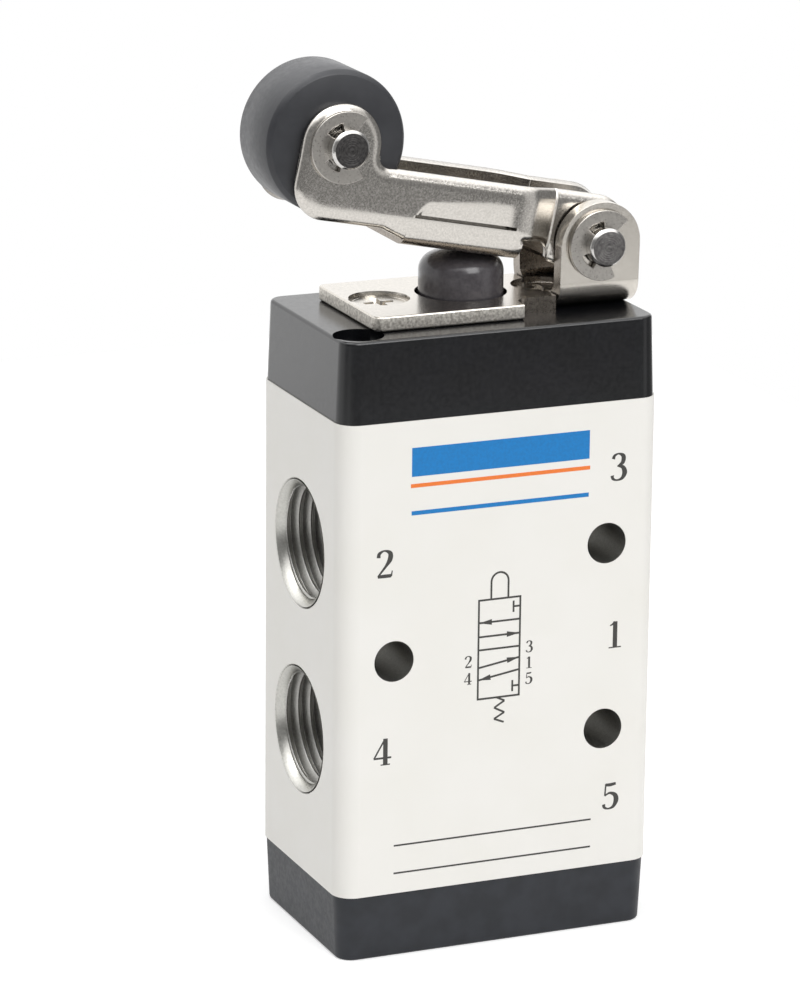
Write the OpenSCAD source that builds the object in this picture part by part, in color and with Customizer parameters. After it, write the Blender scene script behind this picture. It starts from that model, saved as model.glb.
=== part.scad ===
// Roller lever air valve with five ports and two positions, spring return.
// A spool slides upright in the body. The roller lever presses the plunger, which
// pushes the spool down against the return spring under it.
// Millimetres, +Z up. The origin is the middle of the bottom cover's underside, the two-port
// face looks to -X, the three-port face to +X and the printed front to -Y.

/* [Body] */
// Width of the body, from the two-port face to the three-port face
body_w = 35.2; // [34:0.1:42]
// Depth of the body from front to back
body_d = 22.6; // [22:0.1:30]
// Height of the body between its covers
body_h = 50; // [46:0.5:60]
// Radius of the upright edges
body_edge_r = 2.2; // [1:0.1:2.6]

/* [Covers] */
// Height of the bottom cover
bottom_cover_h = 7; // [6.6:0.1:12]
// Height of the top cover
top_cover_h = 8.4; // [8:0.1:13]
// Step in from the body's side to a cover at the seam
cover_step = 0.15; // [0.05:0.05:0.3]
// Lean of a cover's side from the seam to its free face
cover_draft = 0.3; // [0.1:0.05:0.5]
// Rounding of a cover's free edge
cover_edge_r = 0.35; // [0.2:0.05:1]

/* [Ports] */
// Thread diameter of the supply and outlet ports, G 1/4
port_d = 13.157; // [11:0.001:13.4]
// Thread diameter of the exhaust ports, G 1/8
exhaust_d = 9.728; // [8:0.001:9.9]
// Depth of the supply and outlet threads
port_depth = 10; // [8:0.1:10.5]
// Depth of the exhaust threads
exhaust_depth = 8; // [6:0.1:10]
// Chamfer at the mouth of a port
port_chamfer = 0.25; // [0.1:0.05:0.4]
// Distance between the two outlets
outlet_pitch = 20; // [19.5:0.1:22]
// From an end of the body to the exhaust beside it
exhaust_inset = 7.2; // [6.9:0.1:7.5]
// Drilling from an outlet or the supply to the spool
passage_d = 6.4; // [4:0.1:8]
// Drilling from an exhaust to the spool
exhaust_passage_d = 5; // [3:0.1:7]

/* [Mounting holes] */
// Diameter of the three holes through the body
hole_d = 4.3; // [3.2:0.1:4.4]
// Distance between the two holes at the three-port side
hole_pitch = 20; // [19.6:0.1:20.4]
// From a side face to the middle of the holes beside it
hole_inset = 5.85; // [5:0.05:6.5]

/* [Spool] */
// Bore of the body for the spool
bore_d = 11; // [10:0.1:12]
// Depth of the ring grooves round the bore at the ports
groove_depth = 1.2; // [0.6:0.1:1.6]
// Width of those grooves
groove_w = 3.8; // [3.4:0.1:4.2]
// Waist of the spool between its lands
spool_waist_d = 6.4; // [4:0.1:7]
// Thickness of a spool seal
seal_t = 1.8; // [1.4:0.1:2]
// Shoulder of the spool on each side of a seal
seal_shoulder = 0.7; // [0.4:0.1:0.8]
// Gap from the spool's lands to the bore
spool_clear = 0.07; // [0.02:0.01:0.1]
// Gap from the seals to the bore
seal_clear = 0.03; // [0.01:0.01:0.08]

/* [Spring] */
// Outer diameter of the return spring
spring_d = 8.4; // [7:0.1:9]
// Wire of the return spring
spring_wire = 0.7; // [0.4:0.05:0.8]
// Turns of the return spring
spring_turns = 5; // [4:0.5:6]

/* [Plunger] */
// Diameter of the plunger where the lever presses it
plunger_d = 8.75; // [7:0.05:9.2]
// Rounding of the plunger's shoulder
plunger_shoulder_r = 1.9; // [0.5:0.1:2.2]
// Radius of the plunger's domed top
plunger_dome_r = 10; // [8:0.5:14]
// Gap from the plunger to its bush
plunger_clear = 0.05; // [0.02:0.01:0.1]
// Outer diameter of the plunger's bush
bush_d = 12; // [11.4:0.1:13]
// Thickness of the plunger's stop flange
flange_t = 1.6; // [1:0.1:2]

/* [Bracket] */
// Thickness of the bracket's sheet
plate_t = 1.6; // [1.2:0.1:2]
// Width of the bracket's base, front to back
plate_w = 15.7; // [14:0.1:18]
// From the plunger to the free end of the base
plate_left = 12.65; // [12.4:0.05:16]
// From the plunger to the notches beside the ears
plate_right = 3.65; // [3:0.05:5]
// Width of the base between the notches
neck_w = 10.6; // [8:0.1:11.4]
// Width of an ear along the lever
ear_w = 8.8; // [8.2:0.1:9.4]
// Inner radius of the ears' bends
ear_bend_r = 1.5; // [0.8:0.1:1.6]
// From the plunger to the pivot
pivot_x = 12.9; // [12.6:0.1:13.1]
// Height of the pivot above the base
pivot_h = 5.1; // [4.9:0.1:6]
// Hole of the base round the plunger
plate_hole_d = 9.5; // [9.4:0.1:11]
// From the plunger to a bracket screw
bracket_screw_x = 9; // [8.6:0.1:9.2]

/* [Lever] */
// Thickness of the lever's sheet
lever_t = 1.6; // [1.2:0.1:1.8]
// Slope of the lever at rest
lever_angle = 11.3; // [9:0.1:13]
// Angle that the lever travels when it is pressed
lever_travel = 13; // [10:0.5:14]
// From the pivot to the roller, along the lever
roller_along = 30.07; // [29:0.05:33]
// From the pivot to the roller, square to the lever
roller_rise = 6.31; // [6:0.05:8]
// From the pivot up to the lever's top edge
lever_top = 4.7; // [4.4:0.1:5.2]
// From the pivot down to the free lower edge of a cheek
cheek_low = 1.4; // [0.8:0.1:1.8]
// From the pivot down to the underside of the web
web_drop = 2.85; // [2.6:0.05:3.2]
// From the pivot to the near end of the web
web_near = 8.5; // [8:0.1:9]
// From the pivot to the far end of the web
web_far = 21.5; // [20:0.1:22]
// Inner radius of the bends between web and cheeks
web_bend_r = 1.7; // [1.4:0.05:1.9]
// Outer width of the lever between the ears
lever_neck_w = 8.4; // [8:0.1:9]
// Where the inward crank of the cheeks begins, from the pivot
crank_near = 5.7; // [5.3:0.1:6]
// Where the inward crank of the cheeks ends, from the pivot
crank_far = 8.8; // [8.6:0.1:9.6]
// Radius of the cheeks round the pivot
pivot_end_r = 3.9; // [3.2:0.1:4.1]
// From the pivot to the foot of the neck, along the lever
neck_foot = 4.85; // [4.6:0.05:4.9]
// Radius of the notch between the neck's foot and the web
notch_r = 1.6; // [1.2:0.05:1.7]
// From the pivot down to the top of the notch
notch_top = 0.8; // [0.6:0.05:1.2]
// Radius of the cheeks round the roller pin
boss_r = 4.3; // [3.8:0.1:5]
// Radius of the cheeks' lower corner below the roller
boss_corner_r = 3.5; // [1:0.1:4]
// How far the stiffening louvre of a cheek is pressed in
louvre_depth = 0.9; // [0.3:0.1:1.1]
// Length of the louvre
louvre_l = 11; // [6:0.5:11.5]
// Height of the louvre
louvre_h = 1.6; // [1:0.1:2]

/* [Roller and pins] */
// Diameter of the roller
roller_d = 14.8; // [12:0.1:17]
// Width of the roller
roller_w = 8.2; // [7:0.1:9]
// Bevel of the roller's rims
roller_bevel = 0.4; // [0.2:0.1:1]
// Diameter of both pins
pin_d = 4; // [3.4:0.1:4.4]
// Length of a pin beyond its clip
pin_end = 1.35; // [0.8:0.05:2]
// Outer diameter of a retaining clip
clip_d = 7.3; // [6.6:0.1:8]
// Thickness of a retaining clip
clip_t = 0.6; // [0.4:0.05:0.8]
// Angle of a clip's open mouth
clip_mouth = 110; // [80:5:130]

/* [Screws] */
// Thread of the cover screws
cover_screw_d = 2.5; // [2:0.1:3]
// Head of the cover screws
cover_head_d = 4.7; // [3.8:0.1:4.8]
// Height of the cover screws' heads
cover_head_h = 2.5; // [1.6:0.1:2.6]
// Length of the cover screws below the head
cover_screw_l = 10; // [9:0.5:12]
// From the body's ends to a cover screw
cover_screw_inset = 3.15; // [3.1:0.05:3.6]
// From the body's front or back to a cover screw
cover_screw_side = 3.5; // [3.1:0.05:3.8]
// Thread of the bracket screws
bracket_screw_d = 3; // [2.5:0.1:3]
// Head of the bracket screws
bracket_head_d = 5.5; // [5:0.1:5.6]
// Length of the bracket screws
bracket_screw_l = 8; // [6:0.5:8]

/* [Hidden] */
$fn = 72;

// Small overlap that makes a cut run clear of a face
eps = 0.02;

// Clearances that several pieces share
seat_clear = 0.01;     // pressed or threaded pieces of one body
pin_clear = 0.05;      // running fit on a pin
clip_clear = 0.05;     // play of a clip beside what it holds
roller_side = 0.15;    // play of the roller between the cheeks
ear_side = 0.2;        // play of the lever between the ears
web_gap = 0.08;        // from the plunger's dome to the web at rest
stop_gap = 0.1;        // from the plunger's flange to its bush and to the body
head_clear = 0.25;     // round a cover screw's head
head_sink = 0.45;      // a bracket screw's head below the base's top
head_wall = 0.4;       // round a bracket screw's sunk head

// Heights
z_low = bottom_cover_h;
z_mid = z_low + body_h / 2;
z_top = z_low + body_h;
z_cover = z_top + top_cover_h;
z_plate = z_cover + plate_t;
pivot_z = z_plate + pivot_h;
z_outlet_low = z_mid - outlet_pitch / 2;
z_outlet_high = z_mid + outlet_pitch / 2;
z_exhaust_low = z_low + exhaust_inset;
z_exhaust_high = z_top - exhaust_inset;

// Half widths of the lever and the ears, front to back
cheek_in = roller_w / 2 + roller_side;
cheek_out = cheek_in + lever_t;
neck_out = lever_neck_w / 2;
neck_in = neck_out - lever_t;
ear_in = neck_out + ear_side;
ear_out = ear_in + plate_t;
pin_half = max(ear_out, cheek_out) + clip_clear + clip_t + pin_end;

// Clips: where the reliefs beside the middle lug begin and end, and how each pair is turned
clip_relief_start = 35;
clip_relief_end = 78;
pivot_clip_turn = -13;
roller_clip_turn = 7;

// The dome's centre for a slope of the lever, with the web just clear of it
function dome_z(slope) =
    pivot_z + pivot_x * tan(slope) - (web_drop + plunger_dome_r + web_gap) / cos(slope);
stroke = dome_z(lever_angle) - dome_z(lever_angle - lever_travel);
plunger_top = dome_z(lever_angle) + plunger_dome_r;

// Stack of the plunger inside the top cover
cover_wall = 1.2;
spool_top = z_top + 0.5;
flange_z = z_top + stop_gap + stroke;
bush_z = flange_z + flange_t + stop_gap;
bush_top = z_cover - cover_wall;
flange_d = bush_d - 0.8;
rod_d = 5.8;
plunger_seal_t = 1.2;
plunger_seal_z = (bush_z + bush_top) / 2;

// Spool seals, at rest: each lies in a land of the bore or in a groove
seal_edge = groove_w / 2 + seal_t / 2 + 0.3;
seal_zs = [
    z_exhaust_low - seal_edge,
    z_exhaust_low + seal_edge,
    z_mid - seal_edge + seal_t + 0.6,
    z_mid + seal_edge,
    z_exhaust_high - seal_edge + seal_t + 0.6,
    z_exhaust_high + seal_edge + stroke,
];
land_h = seal_t + 2 * seal_shoulder;
spool_bottom = seal_zs[0] - land_h / 2;
spool_nose_d = spring_d - 2 * spring_wire - 0.8;
spool_nose_h = 1.3;

// Spring pocket of the bottom cover
pocket_floor = 1.4;
pocket_d = spring_d + 1;
relief_d = bore_d + 0.6;
relief_h = 1;
holder_t = 1.2;
spring_z = pocket_floor + holder_t;
holder_nose_h = 1.4;

// Ring seals of the covers
cover_seal_t = 1.4;
cover_seal_squeeze = 0.25;
cover_seal_mid_d = bush_d + 3;

// Cover screws
screw_x = body_w / 2 - cover_screw_inset;
screw_y = body_d / 2 - cover_screw_side;
counterbore_d = cover_head_d + 2 * head_clear;
top_head_z = z_cover - 4;
bottom_head_z = 3.6;
socket_af = 2;

// Bracket screws: a flat head at 90 degrees
csk_h = (bracket_head_d - bracket_screw_d) / 2;
csk_clear = 0.2;

// Colours
white_paint = "#ECEAE5";
black_paint = "#232529";
nickel = "#C9C6C0";
steel = "#8D8C8B";
roller_grey = "#3A3C40";
plunger_grey = "#48454A";
brass_yellow = "#B9974C";
rubber_black = "#1E1E20";
alloy = "#B8BABD";
spring_steel = "#9A9C9F";
white_plastic = "#E4E2DC";

// Outline of the body with its rounded upright edges
module block_outline(inset = 0) {
    w = body_w - 2 * inset;
    d = body_d - 2 * inset;
    r = max(0.2, body_edge_r - inset);
    square([w - 2 * r, d], center = true);
    square([w, d - 2 * r], center = true);
    for (x = [-1, 1], y = [-1, 1])
        translate([x * (w / 2 - r), y * (d / 2 - r)])
            circle(r = r);
}

// Solid cover whose sides lean in to a rounded free edge; the seam is at z = 0
module cover_shell(h) {
    steps = 4;
    hull() {
        linear_extrude(eps) block_outline(cover_step, $fn = 32);
        for (i = [0 : steps]) {
            a = 90 * i / steps;
            translate([0, 0, h - cover_edge_r + cover_edge_r * sin(a) - eps])
                linear_extrude(eps)
                    block_outline(cover_step + cover_draft + cover_edge_r * (1 - cos(a)), $fn = 32);
        }
    }
}

// Cylinder along X that starts at x = from and runs to x = to
module along_x(from, to, d) {
    translate([from, 0, 0])
        rotate([0, sign(to - from) * 90, 0])
            cylinder(d = d, h = abs(to - from));
}

// Cylinder along Y, centred on y = 0
module along_y(length, d) {
    rotate([90, 0, 0])
        cylinder(d = d, h = length, center = true);
}

// Threaded port in a side face, side = -1 for -X: chamfer, thread wall and the drilling inwards
module port(side, z, d, depth, drill) {
    face = side * body_w / 2;
    translate([0, 0, z]) {
        along_x(face + side, face - side * depth, d);
        along_x(face - side * (depth - 1), 0, drill);
        translate([face + side * eps, 0, 0])
            rotate([0, -side * 90, 0])
                cylinder(d1 = d + 2 * (port_chamfer + eps), d2 = d, h = port_chamfer + eps);
    }
}

// The places of the cover screws, in two opposite corners
module at_cover_screws() {
    for (s = [-1, 1])
        translate([s * screw_x, s * screw_y, 0])
            children();
}

// The two places of the bracket screws
module at_bracket_screws() {
    for (x = [-1, 1])
        translate([x * bracket_screw_x, 0, 0])
            children();
}

// The lever's own frame: the pivot at the origin, the roller end towards -X
module at_lever() {
    translate([pivot_x, 0, pivot_z])
        rotate([0, lever_angle, 0])
            children();
}

// Upright extrusion of an outline drawn in X and Z, centred on y = 0
module upright(thickness) {
    rotate([90, 0, 0])
        linear_extrude(thickness, center = true)
            children();
}

// Ring of round section with its middle circle of diameter d
module ring(d, t) {
    rotate_extrude()
        translate([d / 2, 0])
            circle(d = t, $fn = 32);
}

module valve_body() {
    color(white_paint)
    difference() {
        translate([0, 0, z_low])
            linear_extrude(body_h)
                block_outline();
        // spool bore and the ring grooves at the five ports
        translate([0, 0, z_low - 1])
            cylinder(d = bore_d, h = body_h + 2);
        for (z = [z_exhaust_low, z_outlet_low, z_mid, z_outlet_high, z_exhaust_high])
            translate([0, 0, z - groove_w / 2])
                cylinder(d = bore_d + 2 * groove_depth, h = groove_w);
        // two outlets on one side; the supply and two exhausts on the other
        port(-1, z_outlet_low, port_d, port_depth, passage_d);
        port(-1, z_outlet_high, port_d, port_depth, passage_d);
        port(1, z_mid, port_d, port_depth, passage_d);
        port(1, z_exhaust_low, exhaust_d, exhaust_depth, exhaust_passage_d);
        port(1, z_exhaust_high, exhaust_d, exhaust_depth, exhaust_passage_d);
        // three holes from front to back
        for (z = [-1, 1])
            translate([body_w / 2 - hole_inset, 0, z_mid + z * hole_pitch / 2])
                along_y(body_d + 2, hole_d);
        translate([hole_inset - body_w / 2, 0, z_mid])
            along_y(body_d + 2, hole_d);
        // threads for the cover screws
        at_cover_screws() {
            translate([0, 0, top_head_z - cover_screw_l - 0.5])
                cylinder(d = cover_screw_d + 2 * seat_clear, h = body_h);
            translate([0, 0, bottom_head_z + cover_screw_l + 0.5 - body_h])
                cylinder(d = cover_screw_d + 2 * seat_clear, h = body_h);
        }
    }
}

// Groove in a cover's seam face for its ring seal, cut up from z = 0
module seal_groove() {
    width = cover_seal_t + 2 * seat_clear;
    translate([0, 0, -eps])
    difference() {
        cylinder(d = cover_seal_mid_d + width, h = cover_seal_t - cover_seal_squeeze + eps);
        translate([0, 0, -1])
            cylinder(d = cover_seal_mid_d - width, h = cover_seal_t + 2);
    }
}

// Ring seal squeezed flat between a cover and the body, from z = 0 up
module squeezed_ring() {
    flat = cover_seal_t - cover_seal_squeeze - seat_clear;
    translate([0, 0, flat / 2])
    rotate_extrude()
        translate([cover_seal_mid_d / 2, 0])
            intersection() {
                circle(d = cover_seal_t, $fn = 32);
                square([2 * cover_seal_t, flat], center = true);
            }
}

module bottom_cover() {
    color(black_paint)
    difference() {
        translate([0, 0, z_low])
            mirror([0, 0, 1])
                cover_shell(bottom_cover_h);
        translate([0, 0, pocket_floor])
            cylinder(d = pocket_d, h = bottom_cover_h);
        // room for the spool's end at full travel
        translate([0, 0, z_low - relief_h])
            cylinder(d = relief_d, h = relief_h + 1);
        translate([0, 0, z_low])
            mirror([0, 0, 1])
                seal_groove();
        at_cover_screws() {
            translate([0, 0, -1])
                cylinder(d = counterbore_d, h = bottom_head_z + 1);
            cylinder(d = cover_screw_d + 2 * head_clear, h = bottom_cover_h + 1);
        }
    }
}

module top_cover() {
    color(black_paint)
    difference() {
        translate([0, 0, z_top])
            cover_shell(top_cover_h);
        // pocket of the plunger's flange and bush, and the plunger's way out
        translate([0, 0, z_top - 1])
            cylinder(d = bush_d, h = bush_top - z_top + 1);
        cylinder(d = plunger_d + 2 * head_clear, h = z_cover + 1);
        translate([0, 0, z_top])
            seal_groove();
        at_cover_screws() {
            translate([0, 0, top_head_z])
                cylinder(d = counterbore_d, h = top_cover_h);
            translate([0, 0, z_top - 1])
                cylinder(d = cover_screw_d + 2 * head_clear, h = top_cover_h);
        }
        at_bracket_screws() {
            translate([0, 0, z_plate - head_sink - bracket_screw_l - 0.2])
                cylinder(d = bracket_screw_d + 2 * seat_clear, h = bracket_screw_l + 1);
            // room for the heads' cones
            translate([0, 0, z_cover - 0.5])
                cylinder(d1 = bracket_screw_d, d2 = bracket_screw_d + 1 + eps, h = 0.5 + eps);
        }
    }
}

module bottom_cover_seal() {
    color(rubber_black)
    translate([0, 0, z_low])
        mirror([0, 0, 1])
            squeezed_ring();
}

module top_cover_seal() {
    color(rubber_black)
    translate([0, 0, z_top])
        squeezed_ring();
}

// Socket head screw with its head above z = 0 and its thread below
module socket_screw() {
    difference() {
        union() {
            cylinder(d = cover_head_d, h = cover_head_h);
            translate([0, 0, -cover_screw_l])
                cylinder(d = cover_screw_d, h = cover_screw_l + eps);
        }
        translate([0, 0, cover_head_h / 2])
            cylinder(d = socket_af / cos(30), h = cover_head_h, $fn = 6);
    }
}

module bottom_cover_screws() {
    color(steel)
    at_cover_screws()
        translate([0, 0, bottom_head_z])
            mirror([0, 0, 1])
                socket_screw();
}

module top_cover_screws() {
    color(steel)
    at_cover_screws()
        translate([0, 0, top_head_z])
            socket_screw();
}

// Flat outline of the bracket's base, with rounded corners and notch fillets
module base_outline() {
    corner_r = 0.8;
    fillet_r = 1.2;
    bend_line = ear_in - ear_bend_r;
    ear_left = pivot_x - ear_w / 2;
    slit = 0.2;
    translate([corner_r - plate_left, -plate_w / 2])
        square([plate_left + plate_right - corner_r, plate_w]);
    translate([-plate_left, corner_r - plate_w / 2])
        square([2 * corner_r, plate_w - 2 * corner_r]);
    for (y = [-1, 1])
        translate([corner_r - plate_left, y * (plate_w / 2 - corner_r)])
            circle(r = corner_r, $fn = 32);
    translate([0, -neck_w / 2])
        square([ear_left - slit, neck_w]);
    translate([0, -bend_line])
        square([pivot_x, 2 * bend_line]);
    for (y = [-1, 1])
        translate([plate_right, y * neck_w / 2])
            mirror([0, y < 0 ? 1 : 0])
                difference() {
                    translate([-eps, -eps])
                        square(fillet_r);
                    translate([fillet_r, fillet_r])
                        circle(r = fillet_r, $fn = 32);
                }
}

// Section across the ears: the base turns up through a bend on each side
module ear_section() {
    bend_line = ear_in - ear_bend_r;
    bend_z = plate_t + ear_bend_r;
    translate([-bend_line, 0])
        square([2 * bend_line, plate_t]);
    for (y = [-1, 1])
        mirror([y < 0 ? 1 : 0, 0]) {
            translate([bend_line, bend_z])
                intersection() {
                    difference() {
                        circle(r = ear_bend_r + plate_t);
                        circle(r = ear_bend_r);
                    }
                    translate([-eps, -2 * bend_z])
                        square(2 * bend_z + eps);
                }
            translate([ear_in, bend_z - eps])
                square([plate_t, pivot_h + ear_w]);
        }
}

module bracket() {
    ear_r = ear_w / 2;
    color(nickel)
    difference() {
        union() {
            translate([0, 0, z_cover])
                linear_extrude(plate_t)
                    base_outline();
            intersection() {
                translate([pivot_x - ear_r, 0, z_cover])
                    rotate([90, 0, 90])
                        linear_extrude(ear_w)
                            ear_section();
                translate([pivot_x, 0, pivot_z])
                    upright(2 * body_d) {
                        circle(r = ear_r);
                        translate([-ear_r, -body_h])
                            square([ear_w, body_h]);
                    }
            }
        }
        translate([0, 0, z_cover - 1])
            cylinder(d = plate_hole_d, h = plate_t + 2);
        at_bracket_screws() {
            translate([0, 0, z_cover - 1])
                cylinder(d = bracket_screw_d + csk_clear, h = plate_t + 2);
            translate([0, 0, z_plate - head_sink - csk_h])
                cylinder(d1 = bracket_screw_d + csk_clear, d2 = bracket_head_d + csk_clear, h = csk_h);
            translate([0, 0, z_plate - head_sink - eps])
                cylinder(d = bracket_head_d + 2 * head_wall, h = head_sink + 2 * eps);
        }
        translate([pivot_x, 0, pivot_z])
            along_y(4 * ear_out, pin_d + 2 * seat_clear);
    }
}

module bracket_screws() {
    color(steel)
    at_bracket_screws()
        translate([0, 0, z_plate - head_sink]) {
            translate([0, 0, -csk_h])
                cylinder(d1 = bracket_screw_d, d2 = bracket_head_d, h = csk_h);
            translate([0, 0, -bracket_screw_l])
                cylinder(d = bracket_screw_d, h = bracket_screw_l - csk_h + eps);
        }
}

// Pin along Y with chamfered ends and a clip groove just outside y = +-held
module clip_pin(held) {
    chamfer = 0.3;
    groove_d = pin_d * 0.8;
    rotate([90, 0, 0])
    difference() {
        union() {
            cylinder(d = pin_d, h = 2 * (pin_half - chamfer), center = true);
            for (s = [-1, 1])
                translate([0, 0, s * (pin_half - chamfer)])
                    mirror([0, 0, s < 0 ? 1 : 0])
                        cylinder(d1 = pin_d, d2 = pin_d - 2 * chamfer, h = chamfer);
        }
        for (s = [-1, 1])
            translate([0, 0, s * (held + clip_clear + clip_t / 2)])
                difference() {
                    cylinder(d = 2 * pin_d, h = clip_t + 2 * seat_clear, center = true);
                    cylinder(d = groove_d, h = 2 * clip_t, center = true);
                }
    }
}

// Wedge of a circle between two angles less than a half turn apart
module sector(r, from, to) {
    step = (to - from) / 4;
    polygon([[0, 0], for (k = [0 : 4]) 2 * r * [cos(from + k * step), sin(from + k * step)]]);
}

// Outline of an E-shaped clip, open towards +X, with three lugs on the groove
module clip_outline() {
    lug_d = pin_d * 0.8 + 2 * seat_clear;
    relief_d = pin_d + 1;
    difference() {
        circle(d = clip_d);
        circle(d = lug_d);
        sector(clip_d, -clip_mouth / 2, clip_mouth / 2);
        for (s = [-1, 1])
            intersection() {
                circle(d = relief_d);
                mirror([0, s < 0 ? 1 : 0])
                    sector(clip_d, 180 - clip_relief_end, 180 - clip_relief_start);
            }
    }
}

// The pair of clips on a pin, just outside y = +-held, turned by an angle round it
module clip_pair(held, turn) {
    for (s = [-1, 1])
        translate([0, s * (held + clip_clear + clip_t / 2), 0])
            upright(clip_t)
                rotate(turn)
                    clip_outline();
}

module pivot_pin() {
    color(steel)
    translate([pivot_x, 0, pivot_z])
        clip_pin(ear_out);
}

module pivot_clips() {
    color(nickel)
    translate([pivot_x, 0, pivot_z])
        clip_pair(ear_out, pivot_clip_turn);
}

module roller_pin() {
    color(steel)
    at_lever()
        translate([-roller_along, 0, roller_rise])
            clip_pin(cheek_out);
}

module roller_clips() {
    color(nickel)
    at_lever()
        translate([-roller_along, 0, roller_rise])
            clip_pair(cheek_out, roller_clip_turn);
}

// Notch in a cheek between the neck's foot and the web, open downwards
module neck_notch() {
    middle = -neck_foot - notch_r;
    translate([middle, -notch_top - notch_r])
        circle(r = notch_r);
    translate([-web_near, -notch_top - 2 * notch_r])
        square([web_near + middle, 2 * notch_r]);
}

// Side view of a cheek in the lever's frame
module cheek_outline() {
    difference() {
        full_cheek();
        neck_notch();
    }
}

// Side view of a cheek before it is notched
module full_cheek() {
    boss_left = -roller_along - boss_r;
    boss_right = -roller_along + boss_r;
    fillet_r = 1.2;
    foot_low = web_drop - 0.1;
    notch_low = -notch_top - notch_r;
    // arm from the boss to the pivot, level along its top
    translate([boss_right - eps, -cheek_low])
        square([eps - boss_right, lever_top + cheek_low]);
    // pivot end, round below the pivot and round from the level top, with a foot towards the web
    circle(r = pivot_end_r);
    polygon([[0, 0], [0, -pivot_end_r], [-neck_foot, -foot_low], [-neck_foot, notch_low],
             [-neck_foot - notch_r, notch_low], [-neck_foot - notch_r, 0]]);
    square([pivot_end_r, lever_top - pivot_end_r]);
    translate([0, lever_top - pivot_end_r])
        circle(r = pivot_end_r);
    // boss round the roller pin, with a rounded lower corner
    translate([-roller_along, roller_rise])
        circle(r = boss_r);
    translate([boss_left, boss_corner_r - cheek_low])
        square([2 * boss_r, roller_rise + cheek_low - boss_corner_r]);
    translate([boss_left + boss_corner_r, -cheek_low])
        square([2 * boss_r - boss_corner_r, boss_corner_r + eps]);
    translate([boss_left + boss_corner_r, boss_corner_r - cheek_low])
        circle(r = boss_corner_r);
    // hollow corner between boss and arm
    translate([boss_right, lever_top])
        difference() {
            translate([-eps, -eps])
                square(fillet_r);
            translate([fillet_r, fillet_r])
                circle(r = fillet_r, $fn = 32);
        }
}

// Plan view of one cheek: wide beside the roller, cranked inwards to pass between the ears
module cheek_plan() {
    far = roller_along + 2 * boss_r;
    near = 2 * pivot_end_r;
    polygon([
        [-far, cheek_in], [-crank_far, cheek_in], [-crank_near, neck_in], [near, neck_in],
        [near, neck_out], [-crank_near, neck_out], [-crank_far, cheek_out], [-far, cheek_out],
    ]);
}

// Section of the web with the bends that lead up into the cheeks
module web_section() {
    outer_r = web_bend_r + lever_t;
    difference() {
        union() {
            translate([-cheek_out, outer_r - web_drop])
                square([2 * cheek_out, eps]);
            translate([outer_r - cheek_out, -web_drop])
                square([2 * (cheek_out - outer_r), outer_r + eps]);
            for (y = [-1, 1])
                translate([y * (cheek_out - outer_r), outer_r - web_drop])
                    circle(r = outer_r);
        }
        translate([-cheek_in, outer_r - web_drop])
            square([2 * cheek_in, 2 * outer_r]);
        translate([web_bend_r - cheek_in, lever_t - web_drop])
            square([2 * (cheek_in - web_bend_r), 2 * outer_r]);
        for (y = [-1, 1])
            translate([y * (cheek_in - web_bend_r), outer_r - web_drop])
                circle(r = web_bend_r);
        translate([-2 * cheek_out, outer_r - web_drop + eps])
            square([4 * cheek_out, 2 * outer_r]);
    }
}

// Wedge between a face of the front or back cheek and its louvre, along the lever
module louvre_wedge(side, face) {
    bottom = web_bend_r + lever_t - web_drop;
    middle = (web_near + web_far) / 2;
    translate([-middle, 0, 0])
        rotate([90, 0, 90])
            linear_extrude(louvre_l, center = true)
                polygon([[side * (face + eps), bottom], [side * (face - louvre_depth), bottom],
                         [side * (face + eps), bottom + louvre_h]]);
}

module lever() {
    bend_top = web_bend_r + lever_t - web_drop;
    color(nickel)
    at_lever()
    difference() {
        union() {
            difference() {
                intersection() {
                    union()
                        for (y = [0, 1])
                            mirror([0, y, 0])
                                translate([0, 0, -body_h])
                                    linear_extrude(2 * body_h)
                                        cheek_plan();
                    upright(4 * cheek_out)
                        cheek_outline();
                }
                translate([-web_far, -2 * cheek_out, bend_top - body_h])
                    cube([web_far - web_near, 4 * cheek_out, body_h]);
                for (side = [-1, 1])
                    louvre_wedge(side, cheek_out);
            }
            translate([-web_far, 0, 0])
                rotate([90, 0, 90])
                    linear_extrude(web_far - web_near)
                        web_section();
            for (side = [-1, 1])
                louvre_wedge(side, cheek_in);
        }
        along_y(4 * cheek_out, pin_d + 2 * pin_clear);
        translate([-roller_along, 0, roller_rise])
            along_y(4 * cheek_out, pin_d + 2 * seat_clear);
    }
}

module roller() {
    tread_r = roller_d / 2;
    hole_r = pin_d / 2 + pin_clear;
    half = roller_w / 2;
    color(roller_grey)
    at_lever()
        translate([-roller_along, 0, roller_rise])
            rotate([90, 0, 0])
                rotate_extrude()
                    polygon([
                        [hole_r, -half], [tread_r - roller_bevel, -half], [tread_r, roller_bevel - half],
                        [tread_r, half - roller_bevel], [tread_r - roller_bevel, half], [hole_r, half],
                    ]);
}

module plunger() {
    color(plunger_grey)
    rotate_extrude()
        intersection() {
            union() {
                translate([0, spool_top])
                    square([rod_d / 2, flange_z - spool_top + eps]);
                translate([0, flange_z])
                    square([flange_d / 2, flange_t]);
                translate([0, flange_z])
                    square([plunger_d / 2, plunger_top - plunger_shoulder_r - flange_z]);
                translate([0, flange_z])
                    square([plunger_d / 2 - plunger_shoulder_r, plunger_top - flange_z]);
                translate([plunger_d / 2 - plunger_shoulder_r, plunger_top - plunger_shoulder_r])
                    circle(r = plunger_shoulder_r);
            }
            // the dome, with the whole stem below its middle
            union() {
                translate([0, plunger_top - plunger_dome_r])
                    circle(r = plunger_dome_r, $fn = 144);
                square([body_w, plunger_top - plunger_dome_r]);
            }
            square([body_w, 2 * plunger_top]);
        }
}

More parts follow.
